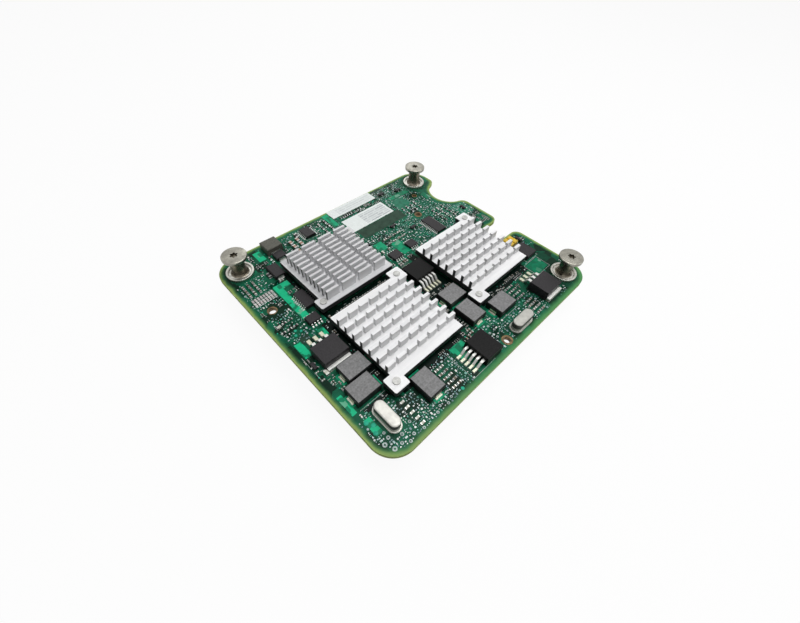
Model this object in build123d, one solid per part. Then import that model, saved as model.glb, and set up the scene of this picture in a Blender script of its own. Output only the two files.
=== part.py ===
"""Mezzanine network card: a small board with finned heat sinks, captive screws and a mating plug.

Millimetres, +Z up. The origin is under the middle of the board, at the plug's mating face.
Places on the board are measured from its plain corner, to the right along X and back along Y.
"""

import os
from math import radians, tan

from build123d import *

# Circuit board
BOARD_WIDTH = 112.0
BOARD_DEPTH = 102.0
BOARD_THICKNESS = 1.6
BOARD_CORNER_RADIUS = 8.8
BAY_RADIUS = 9.6
BAY_FROM_BACK = 24.5
SLOT_WIDTH = 10.0
SLOT_DEPTH = 12.0
SLOT_FROM_FRONT = 42.0
SLOT_CORNER_RADIUS = 3.0
EDGE_BLEND_RADIUS = 3.5
BLEND_SHARE_OF_LAND = 0.45
HOLE_CLEARANCE = 0.05

# Plated tooling holes: place and diameter
TOOLING_HOLES = ((58.7, 3.8, 2.6), (6.3, 68.6, 3.0), (86.3, 73.6, 2.4), (95.6, 85.2, 1.8))

# Mating plug under the board
STACK_HEIGHT = 10.0
PLUG_X = 54.0
PLUG_Y = 48.0
PLUG_LENGTH = 58.0
PLUG_WIDTH = 18.0
PLUG_WALL = 1.8
PLUG_CORNER_RADIUS = 1.5
PLUG_CAVITY_DEPTH = 6.5
BLADE_THICKNESS = 3.0
BLADE_END_GAP = 2.4
BLADE_SET_BACK = 1.0
CONTACT_PITCH = 2.5
CONTACT_WIDTH = 1.2
CONTACT_THICKNESS = 0.25
CONTACT_LENGTH = 4.2

# Pin-fin heat sinks, front and right, and the comb-fin one on the left
SINK_FRONT_X = 17.9
SINK_FRONT_Y = 17.0
SINK_RIGHT_Y = 22.1
SINK_LEFT_SHIFT = 2.3
SINK_LEFT_GAP = 1.7
SINK_WIDTH = 31.4
SINK_DEPTH = 32.7
SINK_LEFT_DEPTH = 29.6
SINK_BASE_THICKNESS = 2.2
SINK_EAR = 6.0
SINK_EAR_RADIUS = 0.6
COMB_EAR_OUT = 2.1
COMB_EAR = 4.9
PIN_FIN_HEIGHT = 3.1
PIN_FIN_END_MARGIN = 3.5
PIN_FIN_ROW_PITCH = 3.95
PIN_FIN_THICKNESS = 1.2
PIN_FIN_CUT_PITCH = 4.7
PIN_FIN_CUT = 1.2
COMB_FIN_HEIGHT = 4.0
COMB_FIN_END_MARGIN = 2.0
COMB_FIN_ROW_PITCH = 2.45
COMB_FIN_THICKNESS = 0.95
COMB_FIN_CUT_PITCH = 7.6
COMB_FIN_CUT = 1.6
COMB_FIN_SIDE_MARGIN = 2.0
ANCHOR_HEAD_DIAMETER = 2.6
ANCHOR_HEAD_HEIGHT = 0.5
ANCHOR_DIAMETER = 1.6
ANCHOR_CLEARANCE = 0.05

# Chips and pads under the heat sinks
CHIP_SIZE = 25.0
CHIP_HEIGHT = 1.4
PAD_SIZE = 22.0
PAD_THICKNESS = 0.3

# Captive screws: distance of each axis from the nearest two board edges
LEFT_SCREW_INSET = (7.5, 9.3)
BACK_SCREW_INSET = (8.9, 8.8)
RIGHT_SCREW_INSET = (8.8, 7.8)
FERRULE_FLANGE_DIAMETER = 10.4
FERRULE_RIM_HEIGHT = 1.2
FERRULE_RIM_WIDTH = 0.9
FERRULE_DISH_DEPTH = 0.7
FERRULE_SKIRT_DIAMETER = 7.6
FERRULE_SKIRT_HEIGHT = 2.4
FERRULE_NECK_DIAMETER = 5.4
FERRULE_COLLAR_DIAMETER = 6.4
FERRULE_COLLAR_HEIGHT = 1.3
FERRULE_HEIGHT = 7.9
FERRULE_BARREL_DIAMETER = 6.0
FERRULE_TAIL = 0.9
SHANK_DIAMETER = 3.4
SHANK_CLEARANCE = 0.08
HEAD_DIAMETER = 9.3
HEAD_HEIGHT = 1.3
HEAD_CHAMFER = 0.3
RECESS_DIAMETER = 4.0
RECESS_DEPTH = 0.8
TIP_ABOVE_FLOOR = 1.0
TIP_CHAMFER = 0.5
SCREW_LIFT = 3.0
CLIP_DIAMETER = 6.4
CLIP_THICKNESS = 0.6
CLIP_MOUTH = 2.0
CLIP_CLEARANCE = 0.05
GROOVE_DIAMETER = 2.5

# Power inductors with a wrapped metal terminal at each end
INDUCTOR_LENGTH = 9.2
INDUCTOR_WIDTH = 7.0
INDUCTOR_HEIGHT = 3.0
INDUCTOR_CHAMFER = 0.25
TERMINAL_WIDTH = 2.7
TERMINAL_HEIGHT = 2.2
TERMINAL_THICKNESS = 0.2
TERMINAL_FOOT = 0.7
INDUCTOR_GAP = 0.9
INDUCTOR_ROW_GAP = 0.5
MIDDLE_ROW_GAP = 1.5
COLUMN_GAP = 0.8

# Flat power packages: three-lead transistors and five-lead regulators
POWER_WIDTH = 9.7
POWER_DEPTH = 8.3
POWER_HEIGHT = 3.8
POWER_DRAFT = 5.0
TAB_THICKNESS = 1.25
TAB_REACH = 1.2
TAB_WIDTH = 9.0
TAB_UNDER = 5.0
POWER_LEAD_THICKNESS = 0.45
POWER_LEAD_EXIT = 2.0
POWER_LEAD_REACH = 5.0
POWER_LEAD_FOOT = 2.2
POWER_LEAD_SHOULDER = 1.3
TRANSISTOR_LEAD_PITCH = 2.54
TRANSISTOR_LEAD_WIDTH = 1.25
REGULATOR_LEAD_PITCH = 1.7
REGULATOR_LEAD_WIDTH = 0.8
TRANSISTOR_SINK_GAP = 2.6
TRANSISTOR_SCREW_GAP = 3.6
TRANSISTOR_SCREW_STEP = 0.9
REGULATOR_FRONT_GAP = 11.0
REGULATOR_FRONT_Y = 7.3
REGULATOR_BACK_GAP = 4.3

# Quartz crystal cans
CRYSTAL_LENGTH = 10.0
CRYSTAL_WIDTH = 3.8
CRYSTAL_HEIGHT = 3.4
CRYSTAL_FLANGE = 0.5
CRYSTAL_FLANGE_THICKNESS = 0.5
CRYSTAL_TOP_CHAMFER = 0.5
CRYSTAL_LEFT_PLACE = (9.0, 11.6)
CRYSTAL_FRONT_STEP = 3.6
CRYSTAL_FRONT_Y = 4.8

# Small chips with bent pins: case size, then pins on each long side with their pitch and width
CHIP_PIN_THICKNESS = 0.15
CHIP_PIN_REACH = 1.0
CHIP_DRAFT = 6.0
MEMORY_CASE = (6.2, 7.4, 2.1)
MEMORY_PINS = (4, 1.7, 0.6)
BUFFER_CASE = (5.0, 10.6, 1.1)
BUFFER_PINS = (13, 0.8, 0.35)
SENSOR_CASE = (3.7, 4.7, 1.5)
SENSOR_PINS = (4, 1.2, 0.45)
CLOCK_CASE = (4.4, 6.0, 1.3)
CLOCK_PINS = (6, 0.95, 0.4)
LOGIC_WIDE_CASE = (4.4, 4.8, 1.1)
LOGIC_WIDE_PINS = (4, 1.1, 0.4)
LOGIC_SMALL_CASE = (3.8, 4.4, 1.1)
LOGIC_SMALL_PINS = (4, 1.0, 0.4)
LOGIC_LONG_CASE = (4.0, 8.6, 1.5)
LOGIC_LONG_PINS = (8, 1.0, 0.4)

# Middle of each small chip from a corner of the sink or field beside it
MEMORY_OFFSET = (5.2, 3.5)
BUFFER_OFFSET = (-7.5, 8.8)
SENSOR_OFFSET = (-5.6, 1.2)
CLOCK_OFFSET = (20.0, 11.4)
LOGIC_WIDE_OFFSET = (5.0, 5.4)
LOGIC_SMALL_OFFSET = (14.8, 6.2)
LOGIC_LONG_OFFSET = (-2.6, 10.6)

# Loose parts of the layout
TALL_CAPACITOR = (6.7, 6.2, 3.2)
MOULDED_CAPACITOR = (4.3, 7.3, 2.0)
ROUNDED_CAPACITOR = (4.4, 4.0, 1.7)
YELLOW_CAPACITOR = (2.3, 4.6, 2.6)
TALL_CAPACITOR_OFFSET = (0.2, 9.6)
MOULDED_CAPACITOR_OFFSET = (-4.8, -3.8)
ROUNDED_CAPACITOR_OFFSET = (1.2, 4.6)
YELLOW_CAPACITOR_OFFSET = (2.2, 8.4)
YELLOW_CAPACITOR_SPACE = 0.4
BLOCK_CHAMFER = 0.25
LABEL_THICKNESS = 0.1
EDGE_LABEL = (25.0, 5.8)
MAIN_LABEL = (23.5, 9.2)
LABEL_X = 54.8
LABEL_STEP = 1.2
LABEL_GAP = 3.9
EDGE_LABEL_INSET = 0.2

# Chip capacitors and resistors: length, width and height
CAPACITOR_CHIP = (1.6, 0.8, 0.7)
LARGE_CAPACITOR_CHIP = (2.2, 1.3, 1.0)
RESISTOR_CHIP = (1.6, 0.8, 0.45)

# Fields of them: columns, rows, pitch along X and pitch along Y
SINK_ROW = (18, 1, 1.25, 1.0)
LEFT_COLUMN = (1, 5, 1.0, 2.15)
FRONT_FIELD = (2, 5, 2.4, 1.9)
TRANSISTOR_ROWS = 4
TRANSISTOR_PITCH = (2.6, 1.9)
LEFT_SCREW_FIELD = (3, 3, 2.0, 2.4)
LARGE_COLUMNS = (2, 3, 3.2, 3.0)
MIDDLE_FIELD = (4, 2, 2.6, 3.0)
EDGE_ROWS = (8, 2, 1.1, 2.1)
SENSOR_FIELD = (3, 2, 2.4, 3.4)
BAY_FIELD = (3, 4, 3.15, 2.6)
BACK_FIELD = (4, 2, 2.6, 3.4)
CLOCK_FIELD = (2, 4, 3.2, 2.8)

# First chip of each field: its middle from the plain corner, or from the piece named
SINK_ROW_OFFSET = (4.4, -0.9)
LEFT_COLUMN_PLACE = (15.6, 3.4)
FRONT_FIELD_PLACE = (31.2, 4.6)
TRANSISTOR_FIELD_GAP = 2.5
TRANSISTOR_CAPACITOR_Y = 3.2
TRANSISTOR_RESISTOR_Y = 12.2
LEFT_SCREW_FIELD_OFFSET = (-3.5, -13.1)
LARGE_COLUMNS_OFFSET = (11.0, 4.2)
MIDDLE_FIELD_OFFSET = (8.5, 12.4)
EDGE_ROWS_OFFSET = (-4.2, -18.5)
SENSOR_FIELD_OFFSET = (-16.3, 3.1)
BAY_FIELD_GAP = 2.4
BAY_FIELD_STEP = 8.2
BACK_FIELD_OFFSET = (-9.8, 22.6)
CLOCK_FIELD_OFFSET = (27.0, 4.4)

HALF_TURN = 180
QUARTER_TURN = 90
CENTRED = (Align.CENTER, Align.CENTER, Align.MIN)
CORNERED = (Align.MIN, Align.MIN, Align.MIN)
OUTWARD = (Align.MIN, Align.CENTER, Align.MIN)
BOARD_TOP = STACK_HEIGHT + BOARD_THICKNESS
SINK_UNDERSIDE = CHIP_HEIGHT + PAD_THICKNESS
SINK_TOP = SINK_UNDERSIDE + SINK_BASE_THICKNESS

# Layout worked out from the sizes above
SINK_EAR_OUT = SINK_EAR / 2
SINK_FRONT_RIGHT = SINK_FRONT_X + SINK_WIDTH
SINK_FRONT_BACK = SINK_FRONT_Y + SINK_DEPTH
SINK_LEFT_X = SINK_FRONT_X + SINK_LEFT_SHIFT
SINK_LEFT_Y = SINK_FRONT_BACK + SINK_EAR_OUT + SINK_LEFT_GAP
SINK_LEFT_BACK = SINK_LEFT_Y + SINK_LEFT_DEPTH
REGULATOR_X = SINK_FRONT_RIGHT + SINK_EAR_OUT + COLUMN_GAP
MIDDLE_X = REGULATOR_X + INDUCTOR_GAP
MIDDLE_WIDTH = max(INDUCTOR_LENGTH, INDUCTOR_WIDTH + SINK_EAR_OUT, POWER_WIDTH)
SINK_RIGHT_X = MIDDLE_X + MIDDLE_WIDTH + COLUMN_GAP
SINK_RIGHT_RIGHT = SINK_RIGHT_X + SINK_WIDTH
SINK_RIGHT_BACK = SINK_RIGHT_Y + SINK_DEPTH

SCREW_PLACES = {
    "left": (LEFT_SCREW_INSET[0], BOARD_DEPTH - LEFT_SCREW_INSET[1]),
    "back": (BOARD_WIDTH - BACK_SCREW_INSET[0], BOARD_DEPTH - BACK_SCREW_INSET[1]),
    "right": (BOARD_WIDTH - RIGHT_SCREW_INSET[0], RIGHT_SCREW_INSET[1]),
}


def spot(x, y, z=0.0):
    """A place on the board's top face, from its plain corner."""
    return Pos(x - BOARD_WIDTH / 2, y - BOARD_DEPTH / 2, BOARD_TOP + z)


def block(x, y, size, z=0.0):
    """A plain block standing on the board, given its front left corner."""
    return spot(x, y, z) * Box(*size, align=CORNERED)


def turned(profile):
    """A turned piece: radius and height pairs carried round the Z axis."""
    section = make_face(Polyline(*[(radius, 0, height) for radius, height in profile], close=True))
    return revolve(section, Axis.Z)


def drilled(solid, places, diameter, depth, z):
    """The solid with plain round holes, each from height z down through depth."""
    drills = [Pos(x, y, z - depth) * Cylinder(diameter / 2, depth, align=CENTRED) for x, y in places]
    return solid - drills


def from_corner(x, y):
    """A place measured from the plain corner, in the part's own frame."""
    return x - BOARD_WIDTH / 2, y - BOARD_DEPTH / 2


def pin_sink_anchors(x, y):
    """The two anchor places of a pin-fin sink: the corners of its base."""
    return (x, y), (x + SINK_WIDTH, y + SINK_DEPTH)


def comb_sink_anchors():
    """The two anchor places of the comb-fin sink, in the middle of its ears."""
    inset = COMB_EAR / 2
    return (
        (SINK_LEFT_X - COMB_EAR_OUT + inset, SINK_LEFT_Y + inset),
        (SINK_LEFT_X + SINK_WIDTH + COMB_EAR_OUT - inset, SINK_LEFT_BACK - inset),
    )


ANCHOR_PLACES = (
    *pin_sink_anchors(SINK_FRONT_X, SINK_FRONT_Y),
    *pin_sink_anchors(SINK_RIGHT_X, SINK_RIGHT_Y),
    *comb_sink_anchors(),
)


def circuit_board():
    """The board's outline with a round bay and a slot in its right edge, and its holes."""
    edge = BOARD_WIDTH / 2
    bay_y = BOARD_DEPTH / 2 - BAY_FROM_BACK
    slot_y = SLOT_FROM_FRONT - BOARD_DEPTH / 2
    outline = RectangleRounded(BOARD_WIDTH, BOARD_DEPTH, BOARD_CORNER_RADIUS)
    outline -= Pos(edge, bay_y) * Circle(BAY_RADIUS)
    outline -= Pos(edge, slot_y) * RectangleRounded(2 * SLOT_DEPTH, SLOT_WIDTH, SLOT_CORNER_RADIUS)
    lip_heights = (bay_y - BAY_RADIUS, bay_y + BAY_RADIUS, slot_y - SLOT_WIDTH / 2, slot_y + SLOT_WIDTH / 2)
    lips = [
        corner
        for corner in outline.vertices()
        if abs(corner.X - edge) < 0.001 and any(abs(corner.Y - lip) < 0.001 for lip in lip_heights)
    ]
    land = bay_y - BAY_RADIUS - slot_y - SLOT_WIDTH / 2
    outline = fillet(lips, min(EDGE_BLEND_RADIUS, land * BLEND_SHARE_OF_LAND))
    board = Pos(0, 0, STACK_HEIGHT) * extrude(outline, amount=BOARD_THICKNESS)
    barrel_hole = FERRULE_BARREL_DIAMETER + 2 * HOLE_CLEARANCE
    screws = [from_corner(*place) for place in SCREW_PLACES.values()]
    board = drilled(board, screws, barrel_hole, BOARD_THICKNESS, BOARD_TOP)
    for x, y, diameter in TOOLING_HOLES:
        board = drilled(board, [from_corner(x, y)], diameter, BOARD_THICKNESS, BOARD_TOP)
    return board


def blade_length():
    """Length of the contact blade between its end gaps."""
    return PLUG_LENGTH - 2 * PLUG_WALL - 2 * BLADE_END_GAP


def plug_housing():
    """An open shell, mouth down, with one contact blade standing in it."""
    middle = Pos(*from_corner(PLUG_X, PLUG_Y))
    shell = extrude(RectangleRounded(PLUG_LENGTH, PLUG_WIDTH, PLUG_CORNER_RADIUS), amount=STACK_HEIGHT)
    mouth = (PLUG_LENGTH - 2 * PLUG_WALL, PLUG_WIDTH - 2 * PLUG_WALL, PLUG_CAVITY_DEPTH)
    shell -= Box(*mouth, align=CENTRED)
    blade_height = PLUG_CAVITY_DEPTH - BLADE_SET_BACK
    blade = Pos(0, 0, BLADE_SET_BACK) * Box(blade_length(), BLADE_THICKNESS, blade_height, align=CENTRED)
    return middle * (shell + blade)


def plug_contacts():
    """A row of flat contacts on each face of the blade."""
    count = int(blade_length() / CONTACT_PITCH)
    contact = Box(CONTACT_WIDTH, CONTACT_THICKNESS, CONTACT_LENGTH, align=CENTRED)
    across = BLADE_THICKNESS + CONTACT_THICKNESS
    height = PLUG_CAVITY_DEPTH - CONTACT_LENGTH
    grid = GridLocations(CONTACT_PITCH, across, count, 2)
    middle = Pos(*from_corner(PLUG_X, PLUG_Y), height)
    return [middle * place * contact for place in grid]


def fins(width, depth, height, row_pitch, thickness, cut_pitch, cut):
    """Long fins along X, cut across into short ones, standing on z = 0 about the origin."""
    rows = int(depth / row_pitch) + 1
    cuts = int(width / cut_pitch)
    row_places = GridLocations(1, row_pitch, 1, rows)
    cut_places = GridLocations(cut_pitch, 1, cuts, 1)
    bars = Sketch() + [place * Rectangle(width, thickness) for place in row_places]
    saw_cuts = [place * Rectangle(cut, rows * row_pitch) for place in cut_places]
    return extrude(bars - saw_cuts, amount=height)


def finned_sink(base, anchors, centre, fin_block):
    """A sink from its base outline, with its anchor holes and its block of fins."""
    sink = Pos(0, 0, BOARD_TOP + SINK_UNDERSIDE) * extrude(base, amount=SINK_BASE_THICKNESS)
    top = BOARD_TOP + SINK_TOP
    places = [from_corner(*place) for place in anchors]
    bore = ANCHOR_DIAMETER + 2 * ANCHOR_CLEARANCE
    sink = drilled(sink, places, bore, SINK_BASE_THICKNESS, top)
    return sink + spot(*centre, SINK_TOP) * fin_block


def pin_fin_sink(x, y):
    """A square sink with an ear on each of two opposite corners of its base."""
    anchors = pin_sink_anchors(x, y)
    centre = (x + SINK_WIDTH / 2, y + SINK_DEPTH / 2)
    base = Pos(*from_corner(*centre)) * Rectangle(SINK_WIDTH, SINK_DEPTH)
    for place in anchors:
        base += Pos(*from_corner(*place)) * RectangleRounded(SINK_EAR, SINK_EAR, SINK_EAR_RADIUS)
    fin_block = fins(
        SINK_WIDTH, SINK_DEPTH - 2 * PIN_FIN_END_MARGIN, PIN_FIN_HEIGHT,
        PIN_FIN_ROW_PITCH, PIN_FIN_THICKNESS, PIN_FIN_CUT_PITCH, PIN_FIN_CUT,
    )
    return finned_sink(base, anchors, centre, fin_block)


def comb_fin_sink():
    """The sink with many long thin fins, its ears flush with the front and back of its base."""
    anchors = comb_sink_anchors()
    centre = (SINK_LEFT_X + SINK_WIDTH / 2, SINK_LEFT_Y + SINK_LEFT_DEPTH / 2)
    base = Pos(*from_corner(*centre)) * Rectangle(SINK_WIDTH, SINK_LEFT_DEPTH)
    for place in anchors:
        base += Pos(*from_corner(*place)) * RectangleRounded(COMB_EAR, COMB_EAR, SINK_EAR_RADIUS)
    fin_block = fins(
        SINK_WIDTH - 2 * COMB_FIN_SIDE_MARGIN, SINK_LEFT_DEPTH - 2 * COMB_FIN_END_MARGIN,
        COMB_FIN_HEIGHT, COMB_FIN_ROW_PITCH, COMB_FIN_THICKNESS, COMB_FIN_CUT_PITCH, COMB_FIN_CUT,
    )
    return finned_sink(base, anchors, centre, fin_block)


def sink_anchors():
    """Studs soldered on the board that hold the sinks, each with its head on an ear."""
    head = Pos(0, 0, SINK_TOP) * Cylinder(ANCHOR_HEAD_DIAMETER / 2, ANCHOR_HEAD_HEIGHT, align=CENTRED)
    stud = Cylinder(ANCHOR_DIAMETER / 2, SINK_TOP, align=CENTRED) + head
    return [spot(x, y) * stud for x, y in ANCHOR_PLACES]


def square_under(x, y, width, depth, size, height, z):
    """A square piece centred under a sink's base."""
    return spot(x + width / 2, y + depth / 2, z) * Box(size, size, height, align=CENTRED)


def screw_ferrule(place):
    """Turned sleeve: barrel in the board, dished flange, tapered skirt, neck and collar."""
    bore = SHANK_DIAMETER / 2 + SHANK_CLEARANCE
    barrel = FERRULE_BARREL_DIAMETER / 2
    flange = FERRULE_FLANGE_DIAMETER / 2
    dish = FERRULE_RIM_HEIGHT - FERRULE_DISH_DEPTH
    neck = FERRULE_NECK_DIAMETER / 2
    collar = FERRULE_COLLAR_DIAMETER / 2
    collar_bottom = FERRULE_HEIGHT - FERRULE_COLLAR_HEIGHT
    sleeve = turned((
        (bore, -BOARD_THICKNESS - FERRULE_TAIL),
        (barrel, -BOARD_THICKNESS - FERRULE_TAIL),
        (barrel, 0),
        (flange, 0),
        (flange, FERRULE_RIM_HEIGHT),
        (flange - FERRULE_RIM_WIDTH, FERRULE_RIM_HEIGHT),
        (FERRULE_SKIRT_DIAMETER / 2, dish),
        (neck, dish + FERRULE_SKIRT_HEIGHT),
        (neck, collar_bottom),
        (collar, collar_bottom),
        (collar, FERRULE_HEIGHT),
        (bore, FERRULE_HEIGHT),
    ))
    return spot(*place) * sleeve


def clip_height():
    """Height of the clip's top face at rest: it stops under the ferrule's tail when lifted."""
    return -BOARD_THICKNESS - FERRULE_TAIL - SCREW_LIFT - CLIP_CLEARANCE


def star_recess():
    """A six-pointed driver recess, two triangles across each other, standing on z = 0."""
    triangle = RegularPolygon(RECESS_DIAMETER / 2, 3)
    return extrude(triangle + Rot(0, 0, HALF_TURN) * triangle, amount=RECESS_DEPTH)


def captive_screw(place):
    """Flat-headed screw through its ferrule, with a groove for the clip above the thread."""
    shank = SHANK_DIAMETER / 2
    groove = GROOVE_DIAMETER / 2
    tip = TIP_ABOVE_FLOOR - BOARD_TOP
    groove_top = clip_height() + CLIP_CLEARANCE
    groove_bottom = clip_height() - CLIP_THICKNESS - CLIP_CLEARANCE
    head = HEAD_DIAMETER / 2
    head_top = FERRULE_HEIGHT + HEAD_HEIGHT
    screw = turned((
        (0, tip),
        (shank - TIP_CHAMFER, tip),
        (shank, tip + TIP_CHAMFER),
        (shank, groove_bottom),
        (groove, groove_bottom),
        (groove, groove_top),
        (shank, groove_top),
        (shank, FERRULE_HEIGHT),
        (head, FERRULE_HEIGHT),
        (head, head_top - HEAD_CHAMFER),
        (head - HEAD_CHAMFER, head_top),
        (0, head_top),
    ))
    screw -= Pos(0, 0, head_top - RECESS_DEPTH) * star_recess()
    return spot(*place) * screw


def retaining_clip(place):
    """Open ring in the screw's groove, which stops the screw when it is lifted."""
    bore = GROOVE_DIAMETER / 2 + CLIP_CLEARANCE
    flat = Circle(CLIP_DIAMETER / 2) - Circle(bore)
    flat -= Pos(CLIP_DIAMETER / 2, 0) * Rectangle(CLIP_DIAMETER, CLIP_MOUTH)
    return spot(*place, clip_height() - CLIP_THICKNESS) * extrude(flat, amount=CLIP_THICKNESS)


def inductor_places():
    """Centre and turn of each power inductor, set off from the sink or part beside it."""
    length, width = INDUCTOR_LENGTH, INDUCTOR_WIDTH
    row_step = width + INDUCTOR_ROW_GAP
    first_row = SINK_FRONT_Y + SINK_EAR_OUT + width / 2 - INDUCTOR_ROW_GAP
    beside_ear = SINK_FRONT_X - SINK_EAR_OUT - TERMINAL_FOOT - length / 2
    beside_sink = SINK_FRONT_X - INDUCTOR_GAP - length / 2
    below_sink = SINK_FRONT_Y - INDUCTOR_GAP - TERMINAL_FOOT - length / 2
    middle_row = SINK_RIGHT_Y + SINK_EAR_OUT - INDUCTOR_ROW_GAP
    below_right_ear = SINK_RIGHT_Y - SINK_EAR_OUT - INDUCTOR_GAP - width / 2
    return (
        (beside_sink, first_row + row_step, 0),
        (beside_ear, first_row, 0),
        (SINK_FRONT_X + SINK_EAR_OUT + INDUCTOR_GAP + width / 2, below_sink, QUARTER_TURN),
        (MIDDLE_X + width / 2, middle_row - length / 2, QUARTER_TURN),
        (MIDDLE_X + length / 2, middle_row + MIDDLE_ROW_GAP + width / 2, 0),
        (SINK_RIGHT_X + length / 2, below_right_ear, 0),
    )


def power_inductor(x, y, turn):
    """A moulded block with broken edges."""
    body = Box(INDUCTOR_LENGTH, INDUCTOR_WIDTH, INDUCTOR_HEIGHT, align=CENTRED)
    body = chamfer(body.faces().sort_by(Axis.Z)[-1].edges(), INDUCTOR_CHAMFER)
    return spot(x, y) * Rot(0, 0, turn) * body


def inductor_terminals(x, y, turn):
    """Two bent strips: up each end face of the block, with a foot on the board."""
    upright = Box(TERMINAL_THICKNESS, TERMINAL_WIDTH, TERMINAL_HEIGHT, align=OUTWARD)
    foot = Box(TERMINAL_FOOT, TERMINAL_WIDTH, TERMINAL_THICKNESS, align=OUTWARD)
    strip = Pos(INDUCTOR_LENGTH / 2, 0, 0) * (upright + foot)
    return [spot(x, y) * Rot(0, 0, turn + half) * strip for half in (0, HALF_TURN)]


def gull_lead(reach, foot, shoulder, exit_height, thickness, width):
    """A bent lead that leaves along +X at exit_height and stands on a flat foot."""
    heel = reach - foot
    slant = (heel - shoulder) * thickness / exit_height
    side = Polyline(
        (0, 0, exit_height),
        (shoulder, 0, exit_height),
        (heel, 0, 0),
        (reach, 0, 0),
        (reach, 0, thickness),
        (heel + slant, 0, thickness),
        (shoulder + slant, 0, exit_height + thickness),
        (0, 0, exit_height + thickness),
        close=True,
    )
    return extrude(make_face(side), amount=width / 2, dir=(0, 1, 0), both=True)


def moulded_body(width, depth, height, parting, draft):
    """A moulded case about the origin: straight up to the parting line, then drafted."""
    lower = Box(width, depth, parting, align=CENTRED)
    inset = 2 * (height - parting) * tan(radians(draft))
    upper = loft([
        Pos(0, 0, parting) * Rectangle(width, depth),
        Pos(0, 0, height) * Rectangle(width - inset, depth - inset),
    ])
    return lower + upper


def power_place(name):
    """Place of a flat power package: the middle of its case, and the turn of its leads."""
    depth, width = POWER_DEPTH, POWER_WIDTH
    left_inductor, _, front_inductor, _, middle_inductor, _ = inductor_places()
    screw_x, screw_y = SCREW_PLACES["right"]
    behind_left = left_inductor[1] + INDUCTOR_WIDTH / 2 + INDUCTOR_GAP + TAB_REACH
    beside_front = front_inductor[0] + INDUCTOR_WIDTH / 2 + REGULATOR_FRONT_GAP + POWER_LEAD_REACH
    behind_middle = middle_inductor[1] + INDUCTOR_WIDTH / 2 + REGULATOR_BACK_GAP + POWER_LEAD_REACH
    beside_sink = SINK_FRONT_X - TRANSISTOR_SINK_GAP
    beside_screw = screw_x - FERRULE_FLANGE_DIAMETER / 2 - TRANSISTOR_SCREW_GAP
    places = {
        "power_transistor_left": (beside_sink - width / 2, behind_left + depth / 2, QUARTER_TURN),
        "power_transistor_right": (beside_screw - width / 2, screw_y + TRANSISTOR_SCREW_STEP, QUARTER_TURN),
        "regulator_front": (beside_front + depth / 2, REGULATOR_FRONT_Y, HALF_TURN),
        "regulator_back": (REGULATOR_X + width / 2, behind_middle + depth / 2, -QUARTER_TURN),
    }
    return places[name]


def power_slug():
    """The heat slug about the case's middle: under the case and out past its back."""
    length = TAB_UNDER + TAB_REACH
    back = -POWER_DEPTH / 2 - TAB_REACH
    return Pos(back, 0, 0) * Box(length, TAB_WIDTH, TAB_THICKNESS, align=OUTWARD)


def power_package(name):
    """The moulded case of a flat power package, its leads towards +X before it is turned."""
    x, y, turn = power_place(name)
    parting = POWER_LEAD_EXIT + POWER_LEAD_THICKNESS
    case = moulded_body(POWER_DEPTH, POWER_WIDTH, POWER_HEIGHT, parting, POWER_DRAFT)
    return spot(x, y) * Rot(0, 0, turn) * (case - power_slug())


def power_leadframe(name, count, pitch, width):
    """The metal of a flat power package: its heat slug and a row of leads."""
    x, y, turn = power_place(name)
    lead = gull_lead(
        POWER_LEAD_REACH, POWER_LEAD_FOOT, POWER_LEAD_SHOULDER,
        POWER_LEAD_EXIT, POWER_LEAD_THICKNESS, width,
    )
    row = [Pos(POWER_DEPTH / 2, 0, 0) * place * lead for place in GridLocations(1, pitch, 1, count)]
    return [spot(x, y) * Rot(0, 0, turn) * piece for piece in (power_slug(), *row)]


def crystal_can(x, y, turn):
    """A drawn oval can with a broken top edge on a thin flange."""
    can = extrude(SlotOverall(CRYSTAL_LENGTH, CRYSTAL_WIDTH), amount=CRYSTAL_HEIGHT)
    can = chamfer(can.faces().sort_by(Axis.Z)[-1].edges(), CRYSTAL_TOP_CHAMFER)
    flange_length = CRYSTAL_LENGTH + 2 * CRYSTAL_FLANGE
    flange_width = CRYSTAL_WIDTH + 2 * CRYSTAL_FLANGE
    flange = extrude(SlotOverall(flange_length, flange_width), amount=CRYSTAL_FLANGE_THICKNESS)
    return spot(x, y) * Rot(0, 0, turn) * (flange + Pos(0, 0, CRYSTAL_FLANGE_THICKNESS) * can)


class SmallChip:
    """A chip with bent pins: a corner and its offset, case size, pins and the turn of its pin rows."""

    def __init__(self, corner, offset, case, pins, turn=0):
        self.place = spot(corner[0] + offset[0], corner[1] + offset[1]) * Rot(0, 0, turn)
        self.width, self.length, self.height = case
        self.pins, self.pitch, self.pin_width = pins

    def case(self):
        parting = self.height / 2 + CHIP_PIN_THICKNESS
        return self.place * moulded_body(self.width, self.length, self.height, parting, CHIP_DRAFT)

    def pin(self):
        """One pin: a flat strip slanting down from the case to the board."""
        lower = [(0, self.height / 2), (CHIP_PIN_REACH, 0)]
        upper = [(x, z + CHIP_PIN_THICKNESS) for x, z in reversed(lower)]
        side = Polyline(*[(x, 0, z) for x, z in lower + upper], close=True)
        return extrude(make_face(side), amount=self.pin_width / 2, dir=(0, 1, 0), both=True)

    def pin_rows(self):
        row = GridLocations(1, self.pitch, 1, self.pins)
        right = [Pos(self.width / 2, 0, 0) * place * self.pin() for place in row]
        return [self.place * Rot(0, 0, half) * pin for half in (0, HALF_TURN) for pin in right]


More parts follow.
